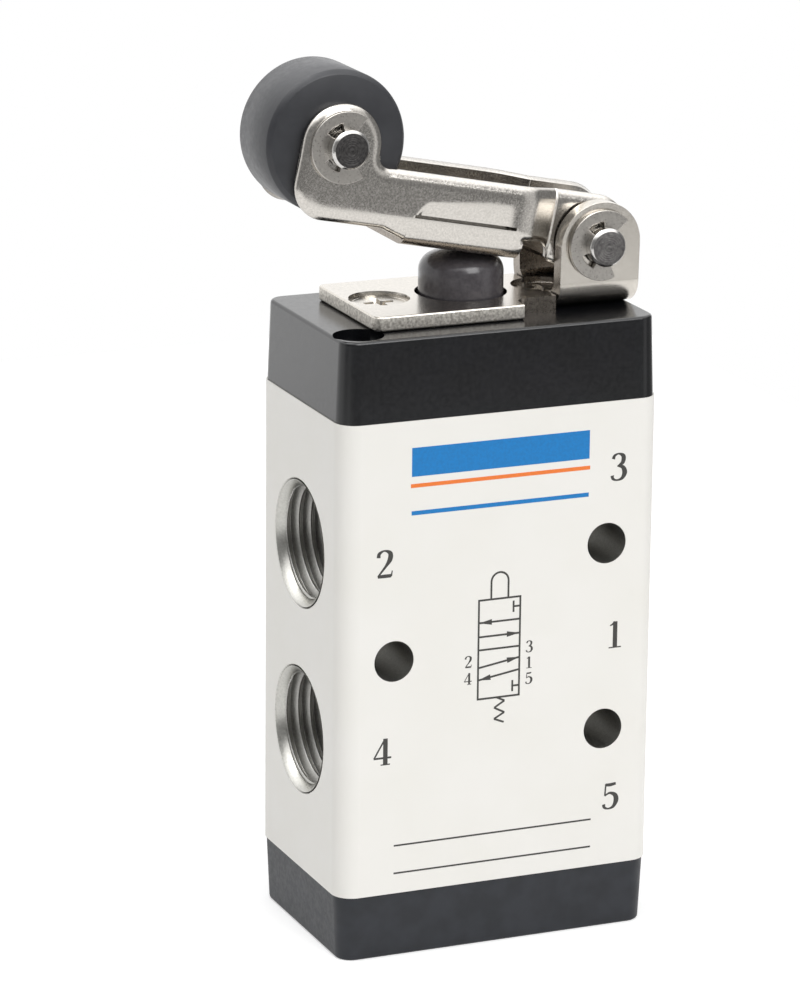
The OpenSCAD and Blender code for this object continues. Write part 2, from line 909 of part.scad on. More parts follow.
module plunger_bush() {
    inner_d = plunger_d + 2 * plunger_clear;
    color(brass_yellow)
    translate([0, 0, bush_z])
    difference() {
        cylinder(d = bush_d - 2 * seat_clear, h = bush_top - bush_z - seat_clear);
        translate([0, 0, -1])
            cylinder(d = inner_d, h = top_cover_h + 2);
        translate([0, 0, plunger_seal_z - bush_z - plunger_seal_t / 2 - seat_clear])
            cylinder(d = inner_d + 2 * plunger_seal_t, h = plunger_seal_t + 2 * seat_clear);
    }
}

module plunger_seal() {
    section = plunger_seal_t - 2 * seat_clear;
    color(rubber_black)
    translate([0, 0, plunger_seal_z])
        ring(plunger_d + 2 * plunger_clear + section, section);
}

module spool() {
    land_d = bore_d - 2 * spool_clear;
    seal_groove_d = bore_d - 2 * seal_clear - 2 * seal_t - 2 * seat_clear;
    color(alloy)
    difference() {
        union() {
            translate([0, 0, spool_bottom])
                cylinder(d = spool_waist_d, h = spool_top - spool_bottom);
            for (z = seal_zs)
                translate([0, 0, z - land_h / 2])
                    cylinder(d = land_d, h = land_h);
            translate([0, 0, spool_bottom - spool_nose_h])
                cylinder(d = spool_nose_d, h = spool_nose_h + eps);
        }
        for (z = seal_zs)
            translate([0, 0, z - seal_t / 2 - seat_clear])
                difference() {
                    cylinder(d = 2 * bore_d, h = seal_t + 2 * seat_clear);
                    translate([0, 0, -1])
                        cylinder(d = seal_groove_d, h = seal_t + 2);
                }
    }
}

module spool_seals() {
    color(rubber_black)
    for (z = seal_zs)
        translate([0, 0, z])
            ring(bore_d - 2 * seal_clear - seal_t, seal_t);
}

// Helical spring from z = 0 to z = h: closed end turns and an even pitch between
module coil_spring(d, wire, turns, h) {
    sides = 8;
    per_turn = 20;
    rings = per_turn * turns;
    mean_r = (d - wire) / 2;
    rise = h - wire;
    end_part = 1 / turns;
    end_rise = wire / rise;
    function lift(t) =
        t < end_part ? end_rise * t / end_part :
        t > 1 - end_part ? 1 - end_rise * (1 - t) / end_part :
        end_rise + (1 - 2 * end_rise) * (t - end_part) / (1 - 2 * end_part);
    points = [
        for (i = [0 : rings], j = [0 : sides - 1])
            let (turn = 360 * i / per_turn, a = 360 * j / sides, r = mean_r + wire / 2 * cos(a))
            [r * cos(turn), r * sin(turn), wire / 2 + rise * lift(i / rings) + wire / 2 * sin(a)]
    ];
    walls = [
        for (i = [0 : rings - 1], j = [0 : sides - 1])
            let (k = (j + 1) % sides)
            [i * sides + j, i * sides + k, (i + 1) * sides + k, (i + 1) * sides + j]
    ];
    first = [for (j = [sides - 1 : -1 : 0]) j];
    last = [for (j = [0 : sides - 1]) rings * sides + j];
    polyhedron(points, concat(walls, [first, last]), convexity = 8);
}

module return_spring() {
    color(spring_steel)
    translate([0, 0, spring_z + seat_clear])
        coil_spring(spring_d, spring_wire, spring_turns, spool_bottom - spring_z - 2 * seat_clear);
}

module spring_holder() {
    color(white_plastic)
    translate([0, 0, pocket_floor]) {
        cylinder(d = pocket_d - 2 * seat_clear, h = holder_t);
        cylinder(d = spool_nose_d, h = holder_t + holder_nose_h);
    }
}

valve_body();
bottom_cover();
top_cover();
bottom_cover_seal();
top_cover_seal();
bottom_cover_screws();
top_cover_screws();
bracket();
bracket_screws();
pivot_pin();
pivot_clips();
lever();
roller();
roller_pin();
roller_clips();
plunger();
plunger_bush();
plunger_seal();
spool();
spool_seals();
return_spring();
spring_holder();
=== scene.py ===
"""Looks of the roller lever air valve, built on its CAD frame. Lengths are in metres, and MM
turns the real sizes in millimetres into them."""

from itertools import count
from math import asin, atan, cos, pi, radians, sin, sqrt, tan

import bmesh
import bpy
import numpy as np
from mathutils import Matrix, Vector


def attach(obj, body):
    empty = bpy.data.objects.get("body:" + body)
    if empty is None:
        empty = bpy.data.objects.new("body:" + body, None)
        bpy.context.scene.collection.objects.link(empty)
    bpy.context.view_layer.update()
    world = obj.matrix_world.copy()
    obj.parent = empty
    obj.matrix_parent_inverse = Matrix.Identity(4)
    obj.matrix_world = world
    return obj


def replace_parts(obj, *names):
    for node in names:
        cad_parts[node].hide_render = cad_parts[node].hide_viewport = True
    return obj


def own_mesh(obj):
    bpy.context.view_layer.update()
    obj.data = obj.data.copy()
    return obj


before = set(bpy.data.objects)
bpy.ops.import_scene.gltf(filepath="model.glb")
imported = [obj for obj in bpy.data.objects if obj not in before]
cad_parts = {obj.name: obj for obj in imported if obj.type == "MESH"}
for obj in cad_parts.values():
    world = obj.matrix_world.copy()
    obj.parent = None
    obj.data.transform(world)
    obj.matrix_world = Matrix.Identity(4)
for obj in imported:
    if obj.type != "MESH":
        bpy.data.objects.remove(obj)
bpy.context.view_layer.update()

MM = 0.001
TINY = 1e-6

# Sizes shared with the CAD, in millimetres
BODY_W, BODY_D = 35.2, 22.6
BODY_LOW, BODY_TOP = 7.0, 57.0
COVER_TOP = 65.4
PLATE_TOP = 67.0
PIVOT_X, PIVOT_Z = 12.9, 72.1
LEVER_SLOPE = radians(11.3)
ROLLER_U, ROLLER_V = 30.07, 6.31
ROLLER_R, ROLLER_HALF = 7.4, 4.1
PIN_R, PIN_HALF = 2.0, 8.0
SHEET = 1.6


# Mesh tools

def lever_point(u, y, v):
    """A point of the lever's own frame (u to the roller, v square to it) in the part's frame."""
    x = PIVOT_X - u * cos(LEVER_SLOPE) + v * sin(LEVER_SLOPE)
    z = PIVOT_Z + u * sin(LEVER_SLOPE) + v * cos(LEVER_SLOPE)
    return Vector((x, y, z)) * MM


def mesh_from(name, bm):
    """Turns a bmesh into a mesh and frees it."""
    mesh = bpy.data.meshes.new(name)
    bm.to_mesh(mesh)
    bm.free()
    return mesh


def add_object(name, data):
    """Puts a mesh, a camera or a lamp in the scene."""
    made = bpy.data.objects.new(name, data)
    bpy.context.scene.collection.objects.link(made)
    return made


def piece_from(name, bm, materials, body, sharp=35.0, flat=False):
    """Closes a bmesh into an object that rides a body; edges over the sharp angle stay crisp.

    With flat, large faces keep their own normal, so that they shine evenly."""
    bmesh.ops.recalc_face_normals(bm, faces=bm.faces)
    for face in bm.faces:
        face.smooth = True
    mesh = mesh_from(name, bm)
    mesh.set_sharp_from_angle(angle=radians(sharp))
    for m in materials:
        mesh.materials.append(m)
    piece = add_object(name, mesh)
    if flat:
        piece.modifiers.new("even_shine", "WEIGHTED_NORMAL").keep_sharp = True
    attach(piece, body)
    return piece


def cad_copy(node):
    """A welded bmesh of a CAD node with its flat faces merged."""
    weld, flat_angle = 0.0005 * MM, radians(0.5)
    bm = bmesh.new()
    bm.from_mesh(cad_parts[node].data)
    bmesh.ops.remove_doubles(bm, verts=bm.verts, dist=weld)
    bmesh.ops.dissolve_limit(bm, angle_limit=flat_angle, verts=bm.verts, edges=bm.edges)
    return bm


def round_arrises(bm, edges, width, segments=2, even=False):
    """Rounds edges; with even, the width holds also where a hole's rim is near."""
    bmesh.ops.bevel(bm, geom=list(edges), offset=width * MM, offset_type="OFFSET", segments=segments,
                    profile=0.5, affect="EDGES", clamp_overlap=not even, loop_slide=not even)


def arrises(bm, angle=30.0):
    """Edges where two faces meet at more than the angle."""
    return [e for e in bm.edges if len(e.link_faces) == 2 and e.calc_face_angle(0) > radians(angle)]


def turns(segments):
    """Equal steps round a circle."""
    return [2 * pi * k / segments for k in range(segments)]


def around(loop):
    """Neighbouring pairs round a closed loop."""
    return zip(loop, loop[1:] + loop[:1])


def distinct(corners):
    """The corners of a face, each once."""
    return [c for k, c in enumerate(corners) if c not in corners[:k]]


def tube(bm, rings):
    """Skins rings of points in turn and closes both ends."""
    for a, b in zip(rings, rings[1:]):
        for (p, q), (r, s) in zip(around(a), around(b)):
            bm.faces.new([p, q, s, r])
    bm.faces.new(rings[0])
    bm.faces.new(rings[-1][::-1])


def lathe(bm, profile, place, segments=96, index=0):
    """Turns a closed profile of (radius, along) in millimetres; place puts its points in the part."""
    rings = []
    for radius, along in profile:
        if radius < TINY:
            rings.append([bm.verts.new(place(0.0, 0.0, along))] * segments)
        else:
            rings.append([bm.verts.new(place(radius * cos(a), radius * sin(a), along))
                          for a in turns(segments)])
    for ring, after in around(rings):
        for (p, q), (r, s) in zip(around(ring), around(after)):
            corners = distinct([p, q, s, r])
            if len(corners) > 2:
                bm.faces.new(corners).material_index = index


def bore_through(piece, holes):
    """Cuts round holes along Y through a piece; each hole is (point, radius in millimetres)."""
    drill_length = 24
    for point, radius in holes:
        bm = bmesh.new()
        along_y = Matrix.Translation(point) @ Matrix.Rotation(pi / 2, 4, "X")
        bmesh.ops.create_cone(bm, cap_ends=True, segments=64, radius1=radius * MM, radius2=radius * MM,
                              depth=drill_length * MM, matrix=along_y)
        drill = add_object("drill", mesh_from("drill", bm))
        cut = piece.modifiers.new("hole", "BOOLEAN")
        cut.object, cut.operation, cut.solver = drill, "DIFFERENCE", "EXACT"
        bpy.context.view_layer.update()
        cut_mesh = bpy.data.meshes.new_from_object(piece.evaluated_get(bpy.context.evaluated_depsgraph_get()))
        piece.modifiers.remove(cut)
        piece.data = cut_mesh
        bpy.data.objects.remove(drill)


def ribbon(bm, points, height, place):
    """A flat strip along points (x, z, half width) in millimetres, raised by height over a face."""
    sides = []
    for i, (x, z, half) in enumerate(points):
        x0, z0, _ = points[max(i - 1, 0)]
        x1, z1, _ = points[min(i + 1, len(points) - 1)]
        length = max(sqrt((x1 - x0) ** 2 + (z1 - z0) ** 2), TINY)
        nx, nz = -(z1 - z0) / length, (x1 - x0) / length
        sides.append([(x + nx * half, z + nz * half), (x - nx * half, z - nz * half)])
    rings = []
    for left, right in sides:
        rings.append([bm.verts.new(place(*left, 0.0)), bm.verts.new(place(*left, height)),
                      bm.verts.new(place(*right, height)), bm.verts.new(place(*right, 0.0))])
    tube(bm, rings)


def smooth_path(points, steps=8):
    """Catmull-Rom path through points (x, z, half width)."""
    p = np.array([points[0]] + list(points) + [points[-1]], float)
    path = []
    for a, b, c, d in zip(p, p[1:], p[2:], p[3:]):
        for t in np.linspace(0, 1, steps, endpoint=False):
            path.append(0.5 * (2 * b + (c - a) * t + (2 * a - 5 * b + 4 * c - d) * t * t
                               + (3 * b - a - 3 * c + d) * t ** 3))
    path.append(p[-1])
    return [tuple(q) for q in path]


# Materials

def linear(hex_colour):
    """sRGB hex to linear RGBA."""
    parts = [int(hex_colour[i:i + 2], 16) / 255 for i in (1, 3, 5)]
    return tuple(c / 12.92 if c <= 0.04045 else ((c + 0.055) / 1.055) ** 2.4 for c in parts) + (1.0,)


def add_node(tree, kind, values=None, links=None, **settings):
    """Adds a node with its settings, socket values and links."""
    made = tree.nodes.new("ShaderNode" + kind)
    for key, value in settings.items():
        setattr(made, key, value)
    for socket, value in (values or {}).items():
        made.inputs[socket].default_value = value
    for socket, source in (links or {}).items():
        tree.links.new(source, made.inputs[socket])
    return made


def grained_finish(name, dark, light, grain_mm, roughness, metallic=0.0, depth_mm=0.0, spread=(0.35, 0.65),
                   detail=3.0, tone_mm=None):
    """A finish whose grain moves its colour and roughness and, with a depth, its relief.

    grain_mm is the size of the grain's spots; tone_mm is that of a slower drift of the colour."""
    made = bpy.data.materials.new(name)
    made.use_nodes = True
    tree = made.node_tree
    shader = tree.nodes["Principled BSDF"]
    shader.inputs["Metallic"].default_value = metallic
    place = add_node(tree, "TexCoord").outputs["Object"]
    grain = add_node(tree, "TexNoise",
                     {"Scale": 1 / (grain_mm * MM), "Detail": detail, "Roughness": 0.6},
                     {"Vector": place}).outputs["Fac"]
    tone = grain
    if tone_mm:
        tone = add_node(tree, "TexNoise", {"Scale": 1 / (tone_mm * MM), "Detail": 2.0},
                        {"Vector": place}).outputs["Fac"]
    colours = add_node(tree, "ValToRGB", links={"Fac": tone})
    for stop, position, colour in zip(colours.color_ramp.elements, spread, (dark, light)):
        stop.position, stop.color = position, linear(colour)
    sheen = add_node(tree, "MapRange",
                     {"From Min": spread[0], "From Max": spread[1],
                      "To Min": roughness[0], "To Max": roughness[1]}, {"Value": grain})
    tree.links.new(colours.outputs["Color"], shader.inputs["Base Color"])
    tree.links.new(sheen.outputs["Result"], shader.inputs["Roughness"])
    if depth_mm:
        relief = add_node(tree, "Bump", {"Distance": depth_mm * MM}, {"Height": grain})
        tree.links.new(relief.outputs["Normal"], shader.inputs["Normal"])
    return made


METAL = 1.0

# Stoved enamel on the alloy block: an even warm white with a soft sheen and a very shallow orange peel
enamel = grained_finish(
    "white_stoved_enamel", "#ECEAE4", "#EEECE7", 0.9, (0.38, 0.47), depth_mm=0.001, tone_mm=9.0)

# Bare machined alloy in ports and holes: pale grey with fine tool marks, drawn coarser than they are to show
machined = grained_finish("machined_aluminium", "#A2A19D", "#B6B5B1", 0.25, (0.38, 0.48), METAL)

# Cut alloy of the threads: duller than the ports and painted greyer as shade deep in the port, so the ridges
# shade softly
thread_alloy_painted_shade = grained_finish("thread_aluminium_painted_shade", "#9C9B97", "#AEADA9", 0.25, (0.36, 0.44), METAL)

# Countersunk mouths of the ports: a smoother cut, so a soft highlight runs round them, and painted paler than
# the threads as light at the mouth
countersunk = grained_finish("countersunk_aluminium_painted_paler", "#A9A8A3", "#B9B8B3", 0.25, (0.28, 0.36), METAL)

# Moulded black nylon of the top cover: smooth and fairly glossy, so it mirrors its pale surroundings
nylon = grained_finish(
    "moulded_black_nylon", "#0C0D0F", "#101114", 0.5, (0.18, 0.25), depth_mm=0.0003, tone_mm=4.0)

# The same nylon with a fine moulded texture on the bottom cover: duller, and its colour painted lighter than
# the top cover's, a bluish charcoal, as light falling on it
lit_textured_nylon = grained_finish(
    "textured_nylon_painted_lighter", "#27292D", "#2E3035", 0.5, (0.4, 0.5), depth_mm=0.0008, tone_mm=2.0)
lit_textured_nylon.node_tree.nodes["Principled BSDF"].inputs["Specular IOR Level"].default_value = 0.3

# Bright nickel plate on the bracket: a warm grey mirror, a little hazy from the rolled sheet under it
bright_nickel = grained_finish(
    "bright_nickel_plate", "#BCB7AF", "#CEC9C1", 0.3, (0.2, 0.27), METAL, 0.0004, (0.3, 0.7))

# Nickel plate over tumbled steel on the lever: peened specks break up its shine
tumbled_nickel = grained_finish(
    "nickel_on_tumbled_steel", "#B4B0AA", "#CAC6C0", 0.2, (0.16, 0.24), METAL, 0.0011)

# The same plate painted duller and browner as shade, for the faces in the folds and under the lever's web and
# for the bracket's shaded edges and inner ear faces
recess_shade_nickel = grained_finish(
    "nickel_painted_with_recess_shade", "#7C756D", "#989087", 0.3, (0.24, 0.34), METAL, 0.0008)

# Nickel over sheared edges: torn steel scatters the light into pale specks
sheared = grained_finish(
    "nickel_on_sheared_edge", "#ABA69E", "#E6E2DA", 0.3, (0.4, 0.55), METAL, 0.004, (0.34, 0.62), 4.0)

# Nickel along the inner bend at the crank, painted as a fine bright line of specks: a painted highlight
crease_glint_nickel = grained_finish("nickel_with_painted_crease_glint", "#D9D5CF", "#F4F1EC", 0.25, (0.5, 0.65), METAL, 0.003)

# Turned bright steel of the pins: smooth, with faint tool smear
turned = grained_finish(
    "turned_bright_steel", "#B8B6B3", "#CCCAC7", 0.4, (0.12, 0.22), METAL, spread=(0.3, 0.7))

# Faced ends of the pins: a darker, duller grey than the turned sides
faced = grained_finish(
    "faced_steel_end", "#5E5C5C", "#858381", 0.35, (0.3, 0.4), METAL, 0.0015, (0.3, 0.7), 4.0)

# The roller pin's faced end: the same steel as the pivot pin's end, painted darker as shade
shaded_roller_pin_end = grained_finish(
    "steel_end_painted_darker_as_shade", "#403F3F", "#5C5A59", 0.35, (0.3, 0.4), METAL, 0.0015, (0.3, 0.7), 4.0)

# Spring steel of the clips, tumbled after stamping: satin grey
clip_finish = grained_finish(
    "tumbled_spring_steel", "#B0ACA6", "#C0BCB6", 0.25, (0.26, 0.34), METAL, spread=(0.3, 0.7))

# Turned dark plastic of the roller: dull black with a soft sheen on the tread
roller_finish = grained_finish(
    "turned_black_acetal", "#28292D", "#2F3034", 0.6, (0.38, 0.46), depth_mm=0.0003, tone_mm=3.0)

# Turned grey plastic of the plunger: oily smooth, slightly brown
plunger_finish = grained_finish("turned_grey_acetal", "#434043", "#4D4A4D", 0.5, (0.15, 0.26))

# Black oxide on the corner screws: thin dark skin over steel
oxide = grained_finish("black_oxide_steel", "#222226", "#2B2B2F", 0.3, (0.32, 0.5), 0.8)

# Nitrile rubber of the seals: matt black
rubber = grained_finish("nitrile_rubber", "#19191B", "#1E1E20", 0.4, (0.52, 0.7))

# Turned alloy of the spool: bright and smooth
alloy = grained_finish("turned_aluminium", "#C4C5C7", "#CFD0D2", 0.3, (0.18, 0.3), METAL)

# Turned brass of the bush: warm yellow metal
brass = grained_finish("turned_brass", "#BF9D51", "#CDAB5D", 0.3, (0.2, 0.34), METAL)

# Drawn spring wire: grey with a drawn sheen
wire = grained_finish("drawn_spring_wire", "#97999C", "#A8AAAD", 0.2, (0.24, 0.38), METAL)

# White moulding of the spring holder: clean, with a soft sheen
white_acetal = grained_finish("moulded_white_acetal", "#E1DFD9", "#E7E5DF", 0.5, (0.4, 0.52))

# Screen ink on the front: thin matt films
ink_dark = grained_finish("dark_grey_screen_ink", "#373633", "#3D3C39", 0.3, (0.48, 0.62))
ink_blue = grained_finish("blue_screen_ink", "#0074B8", "#007CC4", 0.3, (0.44, 0.58))
ink_orange = grained_finish("orange_screen_ink", "#EB782D", "#F17E33", 0.3, (0.44, 0.58))


# Carried-over CAD nodes
node_finishes = {
    "bottom_cover_seal": rubber, "top_cover_seal": rubber,
    "bottom_cover_screws": oxide, "top_cover_screws": oxide,
    "plunger_bush": brass, "plunger_seal": rubber, "spool": alloy, "spool_seals": rubber,
    "spring_holder": white_acetal,
}
for name, finish in node_finishes.items():
    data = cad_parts[name].data
    data.materials.clear()
    data.materials.append(finish)


# Body block: enamel outside, bare metal in the ports and holes
def make_body():
    bm = cad_copy("valve_body")
    half_w, half_d = BODY_W / 2 * MM, BODY_D / 2 * MM
    skin, mouth_round, edge_r = 0.02 * MM, 0.12, 2.3 * MM

    def outside(point):
        return (abs(abs(point.x) - half_w) < skin or abs(abs(point.y) - half_d) < skin
                or abs(point.z - BODY_LOW * MM) < skin or abs(point.z - BODY_TOP * MM) < skin)

    mouths = [e for e in arrises(bm) if all(outside(v.co) for v in e.verts)]
    round_arrises(bm, mouths, mouth_round)
    for face in bm.faces:
        c = face.calc_center_median()
        on_skin = max(abs(c.x) - half_w, abs(c.y) - half_d) > -(mouth_round + 0.01) * MM
        in_corner = abs(c.x) > half_w - edge_r and abs(c.y) > half_d - edge_r
        face.material_index = 0 if on_skin or in_corner else 1
    piece = piece_from("enamelled_body", bm, [enamel, machined], "valve", flat=True)
    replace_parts(piece, "valve_body")


make_body()


# Threads of the ports: ridges on the plain port walls, cut back by the mouth's chamfer
PIPE_THREAD_HEIGHT = 0.6403  # of a 55 degree thread, as a share of its pitch
QUARTER_PORT = (6.5785, 1.337, 9.9)  # major radius, pitch and depth of a G 1/4 port
EIGHTH_PORT = (4.864, 0.907, 7.9)  # and of a G 1/8 port


def make_thread(name, side, height, major_r, pitch, depth):
    """A helical ridge inside a port on the -X or +X face, with rounded crests and roots."""
    bm = bmesh.new()
    ridge = PIPE_THREAD_HEIGHT * pitch
    minor_r, mouth_r, foot_r = major_r - ridge, major_r + 0.05, major_r - 0.004
    per_turn, lead_in, mouth_in = 72, 0.3 * pitch, 0.1
    half = [(-0.5, 0.0), (-0.48, 0.01), (-0.46, 0.05), (-0.09, 0.9), (-0.06, 0.94), (-0.03, 0.95)]
    shape = half + [(-along, rise) for along, rise in half[::-1]]
    steps = int((depth - 0.5) / pitch * per_turn)
    rings = []
    for i in range(steps + 1):
        turn = 2 * pi * i / per_turn
        start = pitch * (i / per_turn) - lead_in
        ring = []
        for along, rise in shape:
            deep = start + pitch * along
            deep_in = min(max(deep, mouth_in), depth - 0.02)
            radius = max(major_r - ridge * rise, mouth_r - deep_in)
            radius = min(radius, foot_r if rise > 0 else major_r)
            x, y, z = side * (BODY_W / 2 - deep_in), radius * cos(turn), height + radius * sin(turn) * side
            ring.append(bm.verts.new(Vector((x, y, z)) * MM))
        rings.append(ring)
    tube(bm, rings)

    def place(a, b, along):
        return Vector((side * (BODY_W / 2 - along), a, height + b)) * MM

    # the countersunk start of the thread is a whole ring
    lathe(bm, [(mouth_r - 0.03, 0.0), (minor_r + 0.1, ridge - 0.05), (minor_r + 0.12, ridge + 0.05),
               (foot_r, ridge + 0.3), (foot_r, mouth_in)], place, 96, 1)
    piece_from(name, bm, [thread_alloy_painted_shade, countersunk], "valve", 60.0)


for port, side, height, size in (
        ("outlet_low", -1, 22.0, QUARTER_PORT), ("outlet_high", -1, 42.0, QUARTER_PORT),
        ("supply", 1, 32.0, QUARTER_PORT),
        ("exhaust_low", 1, 14.2, EIGHTH_PORT), ("exhaust_high", 1, 49.8, EIGHTH_PORT)):
    make_thread("thread_" + port, side, height, *size)


# Lever: a stamped channel with rolled arrises, cranked cheeks and a half-sheared louvre in each cheek
def make_lever():
    tumbled, torn, recess, crease = range(4)
    torn_in, crease_w, hair, pivot_bore, roller_bore = 0.3, 0.24, 0.02, 2.05, 2.01
    top_v, low_v, web_edge_v = 4.7, -1.4, -0.6
    crank_near, crank_far = 5.1, 8.4
    wide, narrow = 5.85, 4.2
    web_near, web_far, web_low, web_r = 8.5, 21.5, -2.85, 1.7
    bend_v = web_low + web_r + SHEET
    boss_r, corner_r, fillet_r, end_r = 4.25, 3.5, 1.2, 3.9
    foot_u, foot_v, notch_r, notch_v, step_run = 4.85, -2.75, 1.6, -2.4, 0.3
    notch_u = foot_u + notch_r
    slant_u, slant_v = 24.1, -2.3
    boss_u = ROLLER_U - 0.12
    fillet_u, fillet_v = boss_u - boss_r - fillet_r, top_v + fillet_r

    def arc(cu, cv, r, a0, a1):
        def turned_to(t):
            return radians(a0 + (a1 - a0) * t)

        return lambda t: (cu + r * cos(turned_to(t)), cv + r * sin(turned_to(t)))

    def line(u0, v0, u1, v1):
        return lambda t: (u0 + (u1 - u0) * t, v0 + (v1 - v0) * t)

    def outline(inset):
        """Upper and lower edge of a cheek, station by station; the inner skin is inset like a torn edge."""
        top, low = top_v - inset, low_v + inset
        end, boss, corner, fillet = end_r - inset, boss_r - inset, corner_r - inset, fillet_r + inset
        near, far = boss_u - boss, boss_u + boss
        foot, notch = foot_u - inset, notch_r + inset
        step = foot - step_run
        roof, gap = notch_v + notch, web_near - hair
        web_a, web_b = (web_edge_v, web_edge_v) if inset else (roof, low)

        def over_notch(t):
            return notch_u - notch * cos(t * pi / 2), top

        stretches = [
            (arc(0, top_v - end_r, end, 180, 90), arc(0, 0, end, 180, 270), 22, "start"),
            (line(0, top, step, top), line(0, -end, step, foot_v + inset), 14, ""),
            (line(step, top, foot, top), line(step, foot_v + inset, foot, notch_v), 5, ""),
            (over_notch, arc(notch_u, notch_v, notch, 180, 90), 24, ""),
            (line(notch_u, top, gap, top), line(notch_u, roof, gap, roof), 16, ""),
            (line(web_near, top, web_far, top), line(web_near, web_a, web_far, web_b), 96, "closed"),
            (line(web_far + hair, top, slant_u, top), line(web_far + hair, low, slant_u, low), 14, ""),
            (line(slant_u, top, fillet_u, top), line(slant_u, low, fillet_u, low), 4, ""),
            (arc(fillet_u, fillet_v, fillet, 270, 360), line(fillet_u, low, near, low), 10, ""),
            (arc(boss_u, ROLLER_V, boss, 180, 60), line(near, low, far - corner, low), 30, ""),
            (arc(boss_u, ROLLER_V, boss, 60, 0),
             arc(far - corner, low + corner, corner, 270, 360), 26, "end"),
        ]
        upper, lower = [], []
        for top_curve, low_curve, steps, cluster in stretches:
            for k in range(steps + 1 if cluster == "closed" else steps):
                t = k / steps
                t = 1 - cos(t * pi / 2) if cluster == "start" else sin(t * pi / 2) if cluster == "end" else t
                upper.append(top_curve(t))
                lower.append(low_curve(t))
        return upper + [(far, ROLLER_V)], lower + [(far, low + corner)]

    upper, lower = outline(0.0)
    upper_in, lower_in = outline(torn_in)
    stations = len(upper)
    louvre_low, louvre_near, louvre_far, louvre_in = 0.5, 9.6, 20.8, 0.27
    slit_low, slit_in = 0.2, 1.5
    rise = top_v - low_v
    hold_v = slit_low - hair
    hold, slit, lip_low, lip = [(v - low_v) / rise for v in (hold_v, slit_low, louvre_low - hair, louvre_low)]
    shares = ([0, 0.004, 0.012, 0.025, 0.045, 0.07, 0.1, 0.13, 0.165, 0.2, 0.235, hold, slit, lip_low, lip]
              + list(np.linspace(0.34, 0.85, 18))
              + [0.87, 0.89, 0.905, 0.92, 0.935, 0.95, 0.962, 0.973, 0.982, 0.99, 0.996, 1])
    rows = len(shares)

    def spread(upper, lower):
        """Points of a cheek by station and row; from pivot to web's end the rows over the slit stay level."""
        cells = []
        for (tu, tv), (lu, lv) in zip(upper, lower):
            level = 0 <= lu <= web_far + TINY
            knee = hold_v if level else lv + (tv - lv) * hold
            cells.append([(lu + (tu - lu) * s, lv + (knee - lv) * s / hold if s < hold
                           else knee + (tv - knee) * (s - hold) / (1 - hold)) for s in shares])
        return np.array(cells)

    grid, grid_in = spread(upper, lower), spread(upper_in, lower_in)
    in_web = [web_near - TINY <= u <= web_far + TINY for u, _ in lower]

    def from_line(cells, line_points, jump=np.inf):
        """Distance of each grid point from a broken line, and its nearest stretch; jumps are left out."""
        flat = cells.reshape(-1, 2)
        a, ab = line_points[:-1], line_points[1:] - line_points[:-1]
        t = np.clip(((flat[:, None] - a) * ab).sum(2) / np.maximum((ab ** 2).sum(1), TINY ** 2), 0, 1)
        gap = np.linalg.norm(flat[:, None] - (a + ab * t[..., None]), axis=2)
        gap[:, np.abs(ab).sum(1) > jump] = np.inf
        return gap.min(1).reshape(cells.shape[:2]), gap.argmin(1).reshape(cells.shape[:2])

    def slant(u):
        """Lower edge of the short apron between the web's end and the free edge."""
        return slant_v + (low_v - slant_v) * (u - web_far) / (slant_u - web_far)

    # rolled arrises of the free edges, fuller along the top
    top_roll, low_roll, roll_share = 1.35, 0.8, 0.65
    corner_v = low_v + corner_r
    in_apron = [web_far + TINY < u < slant_u + TINY for u, _ in lower]
    side_edge = [(boss_u + boss_r, v) for v in np.linspace(ROLLER_V, corner_v, 16)[:-1]]
    free_low = [(u, slant(u)) if apron else (u, v)
                for (u, v), web, apron in zip(lower, in_web, in_apron) if not web][::-1]
    edge = np.array(upper + side_edge + free_low)
    roll = np.array([top_roll] * len(upper) + list(np.linspace(top_roll, low_roll, len(side_edge)))
                    + [low_roll] * len(free_low))
    gap, near = from_line(grid, edge, 10.0)
    share = np.clip(1 - gap / roll[near], 0, 1)
    drop = roll_share * roll[near] * (1 - np.sqrt(np.maximum(1 - share ** 2, 0)))

    # below its middle the cheek leans in towards the web, and the lean runs on round the boss's corner
    lean_from, lean_full, tilt_full, tilt_low = 1.9, 1.0, tan(radians(9)), tan(radians(12))
    lean_start, lean_run, fade_v = 7.4, 1.6, 2.6

    def lean(height):
        """How far in the cheek is at a height over its lower edge."""
        s = np.clip((lean_from - height) / (lean_from - lean_full), 0, 1)
        x = np.maximum(lean_full - height, 0)
        return tilt_full * (lean_from - lean_full) * (s ** 3 - s ** 4 / 2) + tilt_full * x + (
            tilt_low - tilt_full) / (2 * lean_full) * x ** 2

    def faded(u):
        """The lean's share along the lever: none at the crank, all of it soon after."""
        return np.clip((u - lean_start) / lean_run, 0, 1)

    lean_edge = [(web_near, low_v)] + [p for p in lower if p[0] > web_far] + side_edge[::-1]
    gap, near = from_line(grid, np.array(lean_edge))
    strength = np.clip(1 - (np.array(lean_edge)[near, 1] - corner_v) / fade_v, 0, 1)
    drop += lean(gap) * strength * faded(grid[..., 0])

    def half_width(u):
        """Outer half width of the channel: cranked in to the neck, with a pinched line at the inner bend."""
        ease, run, least, most = 0.4, 1.2, 0.1, 3.2
        pinch_w, pinch_back, pinch_half = 0.1, 0.12, 0.1
        window = np.linspace(-ease, ease, 17) * min(max((u - crank_near) / run, least), most)
        share = np.clip((u + window - crank_near) / (crank_far - crank_near), 0, 1).mean()
        pinch = pinch_w * max(1 - abs(u - crank_near + pinch_back) / pinch_half, 0)
        return narrow + (wide - narrow) * share + pinch

